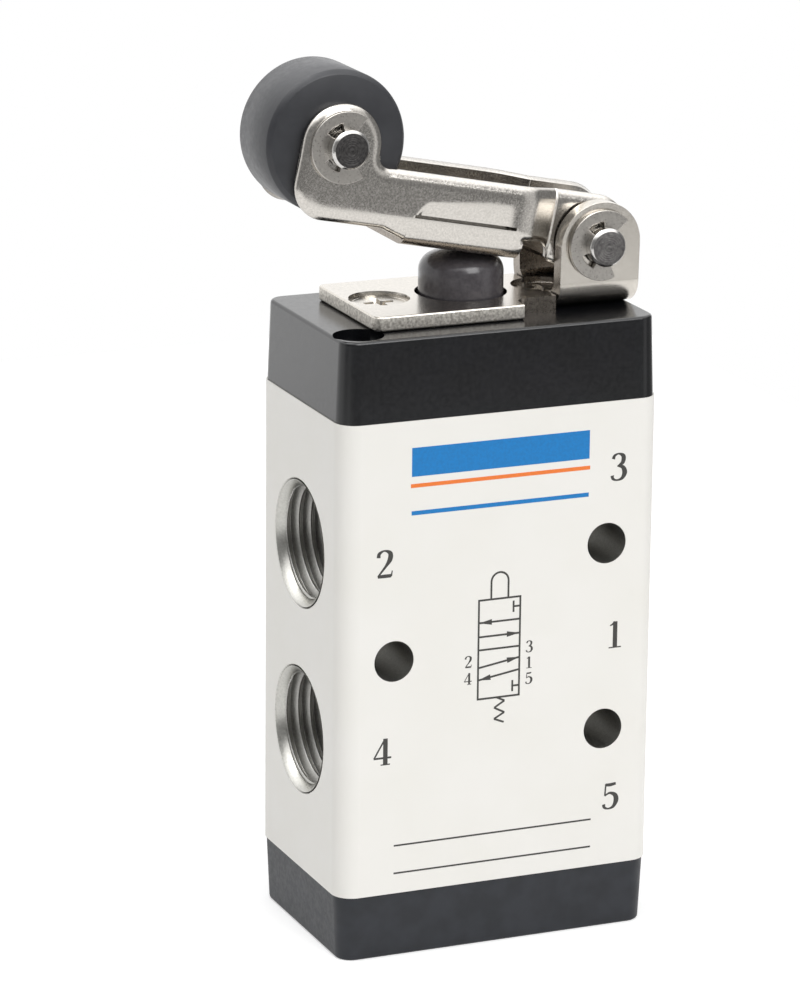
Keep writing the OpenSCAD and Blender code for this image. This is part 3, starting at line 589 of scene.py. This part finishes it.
    def pressed(u, v):
        """How far the louvre pushes the cheek in: most at its torn lower lip, with a slanted far end."""
        crown_v, crown_slope, crown_u, crown_most = 1.95, 0.12, 19.9, 2.8
        far_slant, far_run, near_slant, near_run, swell = 0.6, 0.5, 0.1, 0.9, 1.25
        louvre_top = min(crown_v + crown_slope * (crown_u - u), crown_most)
        if not slit_low - TINY <= v <= louvre_top:
            return 0.0
        far = np.clip((louvre_far - far_slant * (v - louvre_low) - u) / far_run, 0, 1)
        near = np.clip((u - louvre_near - near_slant * (v - louvre_low)) / near_run, 0, 1)
        if v < louvre_low - 0.01:
            return slit_in * far * min(near * 2, 1)
        return louvre_in * ((louvre_top - v) / (louvre_top - louvre_low)) ** swell * far * near

    bm = bmesh.new()
    shells = {}
    for side in (-1, 1):
        outer, inner = [], []
        for i in range(stations):
            column_out, column_in = [], []
            for j in range(rows):
                u, v = grid[i, j]
                out_y = half_width(u) - drop[i, j] - pressed(u, v)
                column_out.append(bm.verts.new(lever_point(u, side * out_y, v)))
                u, v = grid_in[i, j]
                in_y = half_width(u) - SHEET
                if in_web[i] and v < bend_v:
                    in_y += sqrt(web_r ** 2 - (bend_v - v) ** 2) - web_r
                in_y -= min(pressed(u, v), louvre_in)
                column_in.append(bm.verts.new(lever_point(u, side * in_y, v)))
            outer.append(column_out)
            inner.append(column_in)
        shells[side] = (outer, inner)

    def quad(corners, index=tumbled):
        bm.faces.new(distinct(corners)).material_index = index

    for side in (-1, 1):
        outer, inner = shells[side]
        for i in range(stations - 1):
            u = (upper[i][0] + upper[i + 1][0]) / 2
            # a narrow band just before the neck takes the painted highlight
            finish = crease if crank_near - crease_w < u < crank_near else tumbled
            for j in range(rows - 1):
                quad([outer[i][j], outer[i + 1][j], outer[i + 1][j + 1], outer[i][j + 1]], finish)
                quad([inner[i][j], inner[i][j + 1], inner[i + 1][j + 1], inner[i + 1][j]])
            quad([outer[i][-1], outer[i + 1][-1], inner[i + 1][-1], inner[i][-1]])
            # the cheeks' lower edges outside the web and apron take the painted shade
            if not (in_web[i] and in_web[i + 1] or in_apron[i] and in_apron[i + 1]):
                quad([outer[i][0], inner[i][0], inner[i + 1][0], outer[i + 1][0]], recess)
        for j in range(rows - 1):
            quad([outer[-1][j], inner[-1][j], inner[-1][j + 1], outer[-1][j + 1]], torn)
            quad([outer[0][j], outer[0][j + 1], inner[0][j + 1], inner[0][j]], torn)
        # apron at the web's end
        columns = []
        for i in [i for i in range(stations) if in_apron[i]]:
            u = lower[i][0]
            column = [[outer[i][0]], [inner[i][0]]]
            for t in np.linspace(0, 1, 9)[1:]:
                v = low_v + (slant(u) - low_v) * t
                share = max(1 - (v - slant(u)) / low_roll, 0)
                rolled = roll_share * low_roll * (1 - sqrt(max(1 - share ** 2, 0)))
                y = half_width(u) - float(lean(v - low_v)) - rolled
                column[0].append(bm.verts.new(lever_point(u, side * y, v)))
                v = low_v + torn_in + (slant(u) - low_v) * t
                column[1].append(bm.verts.new(lever_point(u, side * (half_width(u) - SHEET), v)))
            columns.append(column)
        # the apron's inner skin and its edges take the painted shade
        for (out_a, in_a), (out_b, in_b) in zip(columns, columns[1:]):
            for k in range(len(out_a) - 1):
                quad([out_a[k], out_a[k + 1], out_b[k + 1], out_b[k]])
                quad([in_a[k], in_b[k], in_b[k + 1], in_a[k + 1]], recess)
            quad([out_a[-1], in_a[-1], in_b[-1], out_b[-1]], recess)
        out_a, in_a = columns[0]
        for k in range(len(out_a) - 1):
            quad([out_a[k], in_a[k], in_a[k + 1], out_a[k + 1]], recess)
    # web with its two bends, station by station: the outer one ends the lean with a tight round
    fold_r, fold_v = 1.6, -1.577
    fold_lean = atan(tilt_low + (tilt_low - tilt_full) / lean_full * (low_v - fold_v))
    fold_in = float(lean(fold_v - low_v)) + fold_r * cos(fold_lean)
    fold_turn = np.linspace(fold_lean, pi / 2, 11)[1:]
    inner_turn = np.linspace(asin((bend_v - web_edge_v) / web_r), pi / 2, 15)[1:]
    strips = []
    for i in [i for i in range(stations) if in_web[i]]:
        u = lower[i][0]
        base = half_width(u)
        outer_half = [(base - float(lean(v - low_v) * faded(u)), v)
                      for v in np.linspace(lower[i][1], fold_v, 4)[1:]]
        outer_half += [(base - fold_in + fold_r * cos(x), web_low + fold_r - fold_r * sin(x))
                       for x in fold_turn]
        inner_half = [(base - SHEET - web_r + web_r * cos(x), bend_v - web_r * sin(x)) for x in inner_turn]
        loops = []
        for k, half in enumerate((outer_half, inner_half)):
            loop = [shells[-1][k][i][0]]
            loop += [bm.verts.new(lever_point(u, -y, v)) for y, v in half]
            loop += [bm.verts.new(lever_point(u, y, v)) for y, v in half[::-1]]
            loop += [shells[1][k][i][0]]
            loops.append(loop)
        strips.append(loops)
    # the web's outer underside, its inner skin and its ends take the painted shade
    for (out_a, in_a), (out_b, in_b) in zip(strips, strips[1:]):
        for k in range(len(out_a) - 1):
            under = 4 < k < len(out_a) - 6
            quad([out_a[k], out_a[k + 1], out_b[k + 1], out_b[k]], recess if under else tumbled)
            quad([in_a[k], in_b[k], in_b[k + 1], in_a[k + 1]], recess)
    for out_loop, in_loop in (strips[0], strips[-1]):
        for k in range(len(out_loop) - 1):
            quad([out_loop[k], in_loop[k], in_loop[k + 1], out_loop[k + 1]], recess)
    bmesh.ops.remove_doubles(bm, verts=bm.verts, dist=0.0002 * MM)
    piece = piece_from("stamped_lever", bm, [tumbled_nickel, sheared, recess_shade_nickel, crease_glint_nickel], "lever_arm",
                       38.0)
    bore_through(piece, [(lever_point(0, 0, 0), pivot_bore),
                         (lever_point(ROLLER_U, 0, ROLLER_V), roller_bore)])
    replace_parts(piece, "lever")


make_lever()


# Bracket: plated sheet with sheared edges; the ears have a full outer arris and lean out a little
def make_bracket():
    bm = cad_copy("bracket")
    bright, torn, recess = range(3)
    ear_out, ear_in, bend_r = 6.0, 4.2, 3.1
    bend_y, bend_z = ear_out - bend_r, COVER_TOP + bend_r
    rim_x, rim_y, waist_x, steep = -12.0, 7.0, 3.0, 0.35
    lean, lean_run = tan(radians(2.5)), 1.5

    def on_outside(point):
        y, z = abs(point.y) / MM, point.z / MM
        bent = y > bend_y and z < bend_z and abs(sqrt((y - bend_y) ** 2 + (z - bend_z) ** 2) - bend_r) < 0.05
        return bent or y > ear_out - 0.02 and z > bend_z - 0.05

    def on_rim(point, level):
        """Whether a point lies on the plate's free edge at a level."""
        return abs(point.z / MM - level) < 0.02 and (abs(point.y) > rim_y * MM or point.x < rim_x * MM)

    for level, width in ((PLATE_TOP, 0.2), (COVER_TOP, 0.36)):
        rim = [e for e in arrises(bm, 40.0) if all(on_rim(v.co, level) for v in e.verts)]
        round_arrises(bm, rim, width, 5, even=True)
    outer = [e for e in arrises(bm, 40.0) if all(on_outside(v.co) for v in e.verts)]
    round_arrises(bm, outer, width=0.5, segments=5)
    upper = [e for e in arrises(bm, 40.0) if max(v.co.z for v in e.verts) > (COVER_TOP + 0.1) * MM]
    round_arrises(bm, upper, width=0.12, segments=3)
    lower = [e for e in arrises(bm, 40.0) if all(v.co.z < (COVER_TOP + 0.05) * MM for v in e.verts)]
    round_arrises(bm, lower, width=0.25, segments=3)
    bm.normal_update()
    for face in bm.faces:
        c, n = face.calc_center_median() / MM, face.normal
        plate = c.z < PLATE_TOP + 0.02
        rim = plate and abs(n.z) < steep and (abs(c.y) > rim_y or c.x < rim_x)
        # the neck's side edges, the ears' left edges below the pivot and the ears' inner faces take the
        # painted shade
        waist = plate and abs(n.z) < steep and c.x > waist_x
        ear_side = not plate and n.x < -0.9 and c.z < PIVOT_Z
        inside = waist or ear_side or not plate and n.y * c.y < 0 and abs(n.y) > 0.3
        face.material_index = torn if rim else recess if inside else bright
    for v in bm.verts:
        rise = v.co.z / MM - PIVOT_Z
        if rise > PLATE_TOP - PIVOT_Z and abs(v.co.y) > ear_in * MM:
            share = min((v.co.z / MM - PLATE_TOP) / lean_run, 1.0)
            v.co.y += (1 if v.co.y > 0 else -1) * rise * share * lean * MM
    piece = piece_from("stamped_bracket", bm, [bright_nickel, sheared, recess_shade_nickel], "valve",
                       flat=True)
    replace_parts(piece, "bracket")


make_bracket()


# Covers: the mouldings with crisp but eased counterbore rims
for name, node, finish in (("moulded_top_cover", "top_cover", nylon),
                           ("moulded_bottom_cover", "bottom_cover", lit_textured_nylon)):
    bm = cad_copy(node)
    face_z = (COVER_TOP if node == "top_cover" else 0.0) * MM
    rim_band, rim_round = 0.7, 0.08
    rims = [e for e in arrises(bm, 40.0) if all(abs(v.co.z - face_z) < rim_band * MM for v in e.verts)]
    round_arrises(bm, rims, rim_round)
    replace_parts(piece_from(name, bm, [finish], "valve", 32.0, flat=True), node)


# Plunger: turned, with a full shoulder and a shallow dome
def make_plunger():
    top, radius, shoulder, dome = 71.492, 4.375, 1.9, 10.0
    flange_low, flange_top, flange_r, rod_low, rod_r = 59.81, 61.41, 5.6, 57.5, 2.9
    reach = radius - shoulder
    lean = asin(reach / (dome - shoulder))
    dome_z = top - dome
    knee_z = dome_z + (dome - shoulder) * cos(lean)
    profile = [(0.0, rod_low), (rod_r, rod_low), (rod_r, flange_low), (flange_r, flange_low),
               (flange_r, flange_top), (radius, flange_top)]
    profile += [(reach + shoulder * cos(x), knee_z + shoulder * sin(x))
                for x in np.linspace(0, pi / 2 - lean, 14)]
    profile += [(dome * sin(x), dome_z + dome * cos(x)) for x in np.linspace(lean, 0, 10)[1:]]
    bm = bmesh.new()
    lathe(bm, profile, lambda a, b, along: Vector((a, b, along)) * MM, 128)
    piece = piece_from("turned_plunger", bm, [plunger_finish], "spool_assembly", 50.0)
    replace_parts(piece, "plunger")


make_plunger()


# Return spring: the CAD coil, copied with its own mesh
def make_return_spring():
    bm = cad_copy("return_spring")
    piece = piece_from("coiled_return_spring", bm, [wire], "valve", 60.0)
    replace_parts(piece, "return_spring")
    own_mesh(piece)


make_return_spring()


# Pins: turned, with a centre dimple and a bright chamfer at each end and a groove for each clip
def make_pin(name, node, body, point, held, end_finish):
    groove, clip = 1.6, 0.6
    start = held + 0.04
    half_profile = [(0.0, PIN_HALF - 0.06), (0.22, PIN_HALF - 0.01), (0.27, PIN_HALF)]
    for r in np.arange(0.5, 1.6, 0.22):
        half_profile += [(r, PIN_HALF), (r + 0.05, PIN_HALF - 0.012), (r + 0.1, PIN_HALF)]
    half_profile += [(PIN_R - 0.3, PIN_HALF), (PIN_R - 0.26, PIN_HALF - 0.02),
                     (PIN_R - 0.03, PIN_HALF - 0.27), (PIN_R, PIN_HALF - 0.33),
                     (PIN_R, start + clip + 0.04), (PIN_R - 0.02, start + clip + 0.02),
                     (groove, start + clip + 0.02), (groove, start - 0.02),
                     (PIN_R - 0.02, start - 0.02), (PIN_R, start - 0.04)]
    profile = half_profile + [(r, -y) for r, y in half_profile[::-1]]
    bm = bmesh.new()

    def place(a, b, along):
        return point + Vector((a, along, b)) * MM

    lathe(bm, profile, place, 64)
    for face in bm.faces:
        c = (face.calc_center_median() - point) / MM
        on_end = abs(c.y) > PIN_HALF - 0.1 and sqrt(c.x ** 2 + c.z ** 2) < PIN_R - 0.28
        face.material_index = 1 if on_end else 0
    piece = piece_from(name, bm, [turned, end_finish], body, 24.0)
    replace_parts(piece, node)


make_pin("turned_pivot_pin", "pivot_pin", "valve", lever_point(0, 0, 0), 6.0, faced)
make_pin("turned_roller_pin", "roller_pin", "lever_arm", lever_point(ROLLER_U, 0, ROLLER_V), 5.85, shaded_roller_pin_end)


# Clips: the stamped outline with tumbled arrises
for name, node, body in (("pivot_e_clips", "pivot_clips", "valve"),
                         ("roller_e_clips", "roller_clips", "lever_arm")):
    bm = cad_copy(node)
    round_arrises(bm, arrises(bm, 45.0), width=0.07)
    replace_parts(piece_from(name, bm, [clip_finish], body, flat=True), node)


# Roller: turned, with a small bevel and a slightly eased tread
def make_roller():
    r, h, bevel = ROLLER_R, ROLLER_HALF, 0.45
    hole = PIN_R + 0.05
    side = [(hole, h - 0.2), (hole + 0.2, h), (r - bevel - 0.06, h), (r - bevel, h - 0.03),
            (r - 0.05, h - bevel + 0.02), (r, h - bevel - 0.08)]
    profile = side + [(q, -y) for q, y in side[::-1]]
    point = lever_point(ROLLER_U, 0, ROLLER_V)
    bm = bmesh.new()
    lathe(bm, profile, lambda a, b, along: point + Vector((a, along, b)) * MM, 160)
    piece = piece_from("turned_roller", bm, [roller_finish], "roller_wheel", 28.0)
    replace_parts(piece, "roller")


make_roller()


# Bracket screws: flat heads with a cross recess
def make_bracket_screws():
    bm = bmesh.new()
    head_r, shank_r, length, sunk = 2.75, 1.5, 8.0, 0.45
    arm, half, root, deep, taper_x, taper_y = 1.65, 0.38, 0.18, 0.95, 0.62, 0.7
    for x in (-9.0, 9.0):
        centre = Vector((x, 0, PLATE_TOP - sunk)) * MM

        def ring(radius, z):
            return [bm.verts.new(centre + Vector((radius * cos(a), radius * sin(a), z)) * MM)
                    for a in turns(64)]

        # outer rings from the head's rim down to the point
        outline = [(head_r - 0.08, 0.0), (head_r, -0.08), (shank_r, -(head_r - shank_r)),
                   (shank_r, -length + 0.4), (shank_r - 0.4, -length)]
        rings = [ring(r, z) for r, z in outline]
        for a, b in zip(rings, rings[1:]):
            for (p, q), (r, s) in zip(around(a), around(b)):
                bm.faces.new([p, r, s, q])
        bm.faces.new(rings[-1])
        # cross recess: arms with rounded roots, narrowing downwards
        cross = []
        for quarter in range(4):
            turn = Matrix.Rotation(quarter * pi / 2, 3, "Z")
            for px, py in ((arm, -half), (arm, half), (half + root, half), (half, half + root)):
                cross.append(turn @ Vector((px, py, 0)))
        top_loop = [bm.verts.new(centre + p * MM) for p in cross]
        low_loop = [bm.verts.new(centre + Vector((p.x * taper_x, p.y * taper_y, -deep)) * MM) for p in cross]
        for (p, q), (r, s) in zip(around(top_loop), around(low_loop)):
            bm.faces.new([p, q, s, r])
        bm.faces.new(low_loop)
        loops = [bm.edges.get(pair) for loop in (top_loop, rings[0]) for pair in around(loop)]
        bmesh.ops.triangle_fill(bm, use_beauty=True, edges=loops)
    piece = piece_from("cross_recess_screws", bm, [bright_nickel], "valve")
    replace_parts(piece, "bracket_screws")


make_bracket_screws()


# Printed front: port numbers, a valve symbol and plain rules, each a thin film of ink
INK = 0.015


def on_front(x, z, rise):
    """A point on the block's front, raised by the film's thickness."""
    return Vector((x, -BODY_D / 2 - rise, z)) * MM


# each numeral's strokes, as points (across, up, half width) in shares of its height
DIGITS = {
    "1": [[(0.50, 0.02, 0.085), (0.50, 0.98, 0.085)],
          [(0.48, 0.97, 0.035), (0.36, 0.88, 0.03), (0.24, 0.84, 0.02)],
          [(0.20, 0.02, 0.022), (0.80, 0.02, 0.022)]],
    "2": [[(0.20, 0.74, 0.07), (0.24, 0.89, 0.06), (0.48, 0.98, 0.03), (0.74, 0.88, 0.08),
           (0.74, 0.66, 0.09), (0.55, 0.42, 0.05), (0.30, 0.18, 0.035), (0.18, 0.06, 0.03)],
          [(0.17, 0.06, 0.055), (0.50, 0.06, 0.065), (0.80, 0.06, 0.06)],
          [(0.80, 0.04, 0.03), (0.85, 0.24, 0.02)]],
    "3": [[(0.22, 0.80, 0.065), (0.28, 0.92, 0.05), (0.48, 0.98, 0.03), (0.70, 0.88, 0.08),
           (0.68, 0.66, 0.075), (0.46, 0.54, 0.028)],
          [(0.42, 0.54, 0.028), (0.68, 0.48, 0.07), (0.78, 0.28, 0.095), (0.66, 0.08, 0.06),
           (0.42, 0.02, 0.03), (0.22, 0.08, 0.05), (0.18, 0.20, 0.065)]],
    "4": [[(0.60, 0.97, 0.03), (0.34, 0.62, 0.03), (0.08, 0.27, 0.03)],
          [(0.07, 0.27, 0.035), (0.90, 0.27, 0.035)],
          [(0.62, 0.02, 0.085), (0.62, 0.98, 0.085)], [(0.40, 0.02, 0.022), (0.84, 0.02, 0.022)]],
    "5": [[(0.26, 0.93, 0.055), (0.50, 0.92, 0.06), (0.76, 0.95, 0.05)],
          [(0.27, 0.96, 0.03), (0.23, 0.52, 0.03)],
          [(0.23, 0.52, 0.03), (0.46, 0.61, 0.04), (0.72, 0.52, 0.08), (0.79, 0.32, 0.095),
           (0.66, 0.09, 0.06), (0.42, 0.02, 0.03), (0.22, 0.08, 0.05), (0.18, 0.20, 0.065)]],
}


def write_digit(bm, digit, x, z, height):
    """One numeral with its middle at x, z."""
    narrowing = 0.8
    for k, stroke in enumerate(DIGITS[digit]):
        placed = [(x + (px - 0.5) * height * narrowing, z + (pz - 0.5) * height, half * height)
                  for px, pz, half in stroke]
        placed = smooth_path(placed) if len(placed) > 2 else placed
        ribbon(bm, placed, INK + 0.0005 * k, on_front)


def make_numbers():
    """The numbers beside the ports, and again small beside the symbol."""
    bm = bmesh.new()
    by_ports, by_symbol = 2.9, 1.25
    for digit, x, z in (("3", 12.95, 50.0), ("1", 12.93, 32.1), ("5", 12.8, 14.5),
                        ("4", -12.9, 22.5), ("2", -12.85, 42.4)):
        write_digit(bm, digit, x, z, by_ports)
    for digit, x, z in (("2", -3.55, 31.0), ("4", -3.55, 29.2),
                        ("3", 3.25, 31.9), ("1", 3.25, 30.2), ("5", 3.25, 28.5)):
        write_digit(bm, digit, x, z, by_symbol)
    piece_from("port_numbers", bm, [ink_dark], "valve", 60.0)


make_numbers()


def make_symbol():
    """A five-port two-position valve symbol: two squares with flow arrows, a plunger and a spring."""
    bm = bmesh.new()
    half, head_l, head_half = 0.1, 1.35, 0.3
    left, right, low, middle, top = -2.45, 2.15, 26.85, 32.1, 37.4
    layers = count(1)

    def lay(points):
        """A film a hair thicker than the one before, so that crossing lines don't share a face."""
        ribbon(bm, points, INK + 0.0002 * next(layers), on_front)

    def stroke(*points):
        lay([(x, z, half) for x, z in points])

    def arrow(x0, z0, x1, z1):
        """A line with a slim head whose point is at x1, z1."""
        stroke((x0, z0), (x1, z1))
        tail = head_l / sqrt((x1 - x0) ** 2 + (z1 - z0) ** 2)
        lay([(x1 + (x0 - x1) * tail, z1 + (z0 - z1) * tail, head_half), (x1, z1, 0.01)])

    stroke((left, low - half), (left, top + half))
    stroke((right, low - half), (right, top + half))
    for z in (low, middle, top):
        stroke((left, z), (right, z))
    arrow(right, 35.0, left + 0.1, 35.0)
    arrow(left, 33.5, right - 0.1, 33.5)
    arrow(left, 30.2, right - 0.05, 30.9)
    arrow(right, 29.6, left + 0.05, 28.9)
    for z in (36.4, 27.9):
        stroke((right, z), (right - 0.75, z))
        stroke((right - 0.75, z - 0.6), (right - 0.75, z + 0.6))
    arch_x, arch_z, arch_r = -0.15, 39.25, 0.95
    arch = [(arch_x - arch_r * cos(a), arch_z + arch_r * sin(a)) for a in np.linspace(0, pi, 15)]
    stroke((arch_x - arch_r, top), *arch, (arch_x + arch_r, top))
    spring = [(-0.35, low), (0.55, 26.4), (-0.6, 25.75), (0.55, 25.15), (-0.6, 24.55), (0.5, 24.1)]
    for begin, end in zip(spring, spring[1:]):
        stroke(begin, end)
    piece_from("valve_symbol", bm, [ink_dark], "valve", 60.0)


make_symbol()


def make_rules():
    """Plain coloured rules and two blank data lines on the front."""
    for name, ink, rules in (("blue_rules", ink_blue, [(-10.0, 9.6, 52.7, 1.5), (-10.0, 9.6, 47.4, 0.22)]),
                             ("orange_rule", ink_orange, [(-10.1, 9.7, 50.25, 0.2)]),
                             ("data_lines", ink_dark, [(-11.6, 10.6, 12.2, 0.09), (-11.6, 10.6, 9.2, 0.09)])):
        bm = bmesh.new()
        for x0, x1, z, half in rules:
            ribbon(bm, [(x0, z, half), (x1, z, half)], INK, on_front)
        piece_from(name, bm, [ink], "valve", 60.0)


make_rules()


# Camera at the photograph's place, solved from the block's edges
def make_camera():
    at = Vector((-188.6, -430.01, 178.25)) * MM
    yaw, pitch, roll = radians(-22.9535), radians(15.9235), radians(0.5549)
    focal_px, long_side_px, sensor = 4720.85, 1008, 36.0
    right = Vector((cos(yaw), sin(yaw), 0))
    back = Vector((sin(yaw) * cos(pitch), -cos(yaw) * cos(pitch), sin(pitch)))
    up = back.cross(right)
    right, up = right * cos(roll) + up * sin(roll), up * cos(roll) - right * sin(roll)
    data = bpy.data.cameras.new("photo_camera")
    data.sensor_width = sensor
    data.lens = focal_px / long_side_px * sensor
    camera = add_object("photo_camera", data)
    camera.matrix_world = Matrix.Translation(at) @ Matrix((right, up, back)).transposed().to_4x4()
    bpy.context.scene.camera = camera


make_camera()


# Floor: an oblong pale card that is white to the eye and to shiny surfaces, and takes the soft shadow
def make_floor():
    bm = bmesh.new()
    left, right, front, back = -300, 130, -228, 240
    lift = 0.45  # light of its own that brings the lit card up to white
    bm.faces.new([bm.verts.new(Vector((x, y, 0)) * MM)
                  for x, y in ((left, front), (right, front), (right, back), (left, back))])
    mesh = mesh_from("pale_floor", bm)
    made = bpy.data.materials.new("pale_floor_card")
    made.use_nodes = True
    tree = made.node_tree
    tree.nodes.clear()
    path = add_node(tree, "LightPath")
    card = add_node(tree, "BsdfDiffuse", {"Color": linear("#E8E8E8")})
    glow = add_node(tree, "Emission", {"Color": (1, 1, 1, 1)})
    shiny = add_node(tree, "Math", operation="MAXIMUM",
                     links={0: path.outputs["Is Glossy Ray"], 1: path.outputs["Is Transmission Ray"]})
    seen = add_node(tree, "Math", operation="MAXIMUM",
                    links={0: path.outputs["Is Camera Ray"], 1: shiny.outputs[0]})
    share = add_node(tree, "Math", {1: lift}, {0: seen.outputs[0]}, operation="MULTIPLY")
    tree.links.new(share.outputs[0], glow.inputs["Strength"])
    both = add_node(tree, "AddShader", links={0: card.outputs[0], 1: glow.outputs[0]})
    add_node(tree, "OutputMaterial", links={"Surface": both.outputs[0]})
    mesh.materials.append(made)
    add_object("pale_floor", mesh)


make_floor()


# World: white to the eye; shiny surfaces see white round the back and sides and a dimmer room at the front
def make_world():
    world = bpy.data.worlds.new("studio")
    bpy.context.scene.world = world
    world.use_nodes = True
    tree = world.node_tree
    tree.nodes.clear()
    path = add_node(tree, "LightPath")
    where = add_node(tree, "TexCoord")
    parts = add_node(tree, "SeparateXYZ", links={"Vector": where.outputs["Generated"]})
    dim_room, fill = 0.29, 0.54
    ramps = {}
    for name, axis, begin, stop, first, last in (
            ("front", "Y", -0.3, 0.1, 1.0, 0.0), ("low", "Z", 0.48, 0.8, 1.0, 0.0),
            ("roof", "Z", 0.4, 0.8, 0.0, 1.3), ("back", "Y", 0.3, 0.8, 1.0, 1.4),
            ("strip", "X", 0.5, 0.68, 1.0, 0.25), ("right", "X", 0.78, 0.9, 0.0, 1.0)):
        ramp = add_node(tree, "MapRange", interpolation_type="SMOOTHSTEP",
                        values={"From Min": begin, "From Max": stop, "To Min": first, "To Max": last},
                        links={"Value": parts.outputs[axis]})
        ramps[name] = ramp.outputs["Result"]
    ahead = add_node(tree, "Math", operation="MULTIPLY",
                     links={0: ramps["front"], 1: ramps["strip"]})
    sides = add_node(tree, "Math", operation="MAXIMUM", links={0: ahead.outputs[0], 1: ramps["right"]})
    dim = add_node(tree, "Math", operation="MULTIPLY", links={0: sides.outputs[0], 1: ramps["low"]})
    bright = add_node(tree, "Math", operation="ADD", links={0: ramps["back"], 1: ramps["roof"]})
    mirrored = add_node(tree, "Mix", {"B": dim_room},
                        {"Factor": dim.outputs[0], "A": bright.outputs[0]}, data_type="FLOAT")
    shiny = add_node(tree, "Math", operation="MAXIMUM",
                     links={0: path.outputs["Is Glossy Ray"], 1: path.outputs["Is Transmission Ray"]})
    lit = add_node(tree, "Mix", {"A": fill},
                   {"Factor": shiny.outputs[0], "B": mirrored.outputs["Result"]}, data_type="FLOAT")
    level = add_node(tree, "Mix", {"B": 1.0},
                     {"Factor": path.outputs["Is Camera Ray"], "A": lit.outputs["Result"]}, data_type="FLOAT")
    sky = add_node(tree, "Background", {"Color": linear("#FFFFFF")},
                   {"Strength": level.outputs["Result"]})
    add_node(tree, "OutputWorld", links={"Surface": sky.outputs[0]})


make_world()


# Soft boxes: a large one high at the front right, a smaller one high at the left
MIDDLE = Vector((0, 0, 0.045))


def soft_box(name, at, width, power):
    """A square lamp that faces the part's middle; place and width in metres."""
    data = bpy.data.lights.new(name, "AREA")
    data.shape = "SQUARE"
    data.size = width
    data.energy = power
    lamp = add_object(name, data)
    lamp.location = at
    lamp.rotation_euler = (MIDDLE - Vector(at)).to_track_quat("-Z", "Y").to_euler()


soft_box("key_soft_box", (0.15, -0.62, 0.55), 0.45, 3.3)
soft_box("top_soft_box", (-0.2, 0.05, 0.75), 0.4, 1.6)

bpy.context.scene.view_settings.view_transform = "Standard"
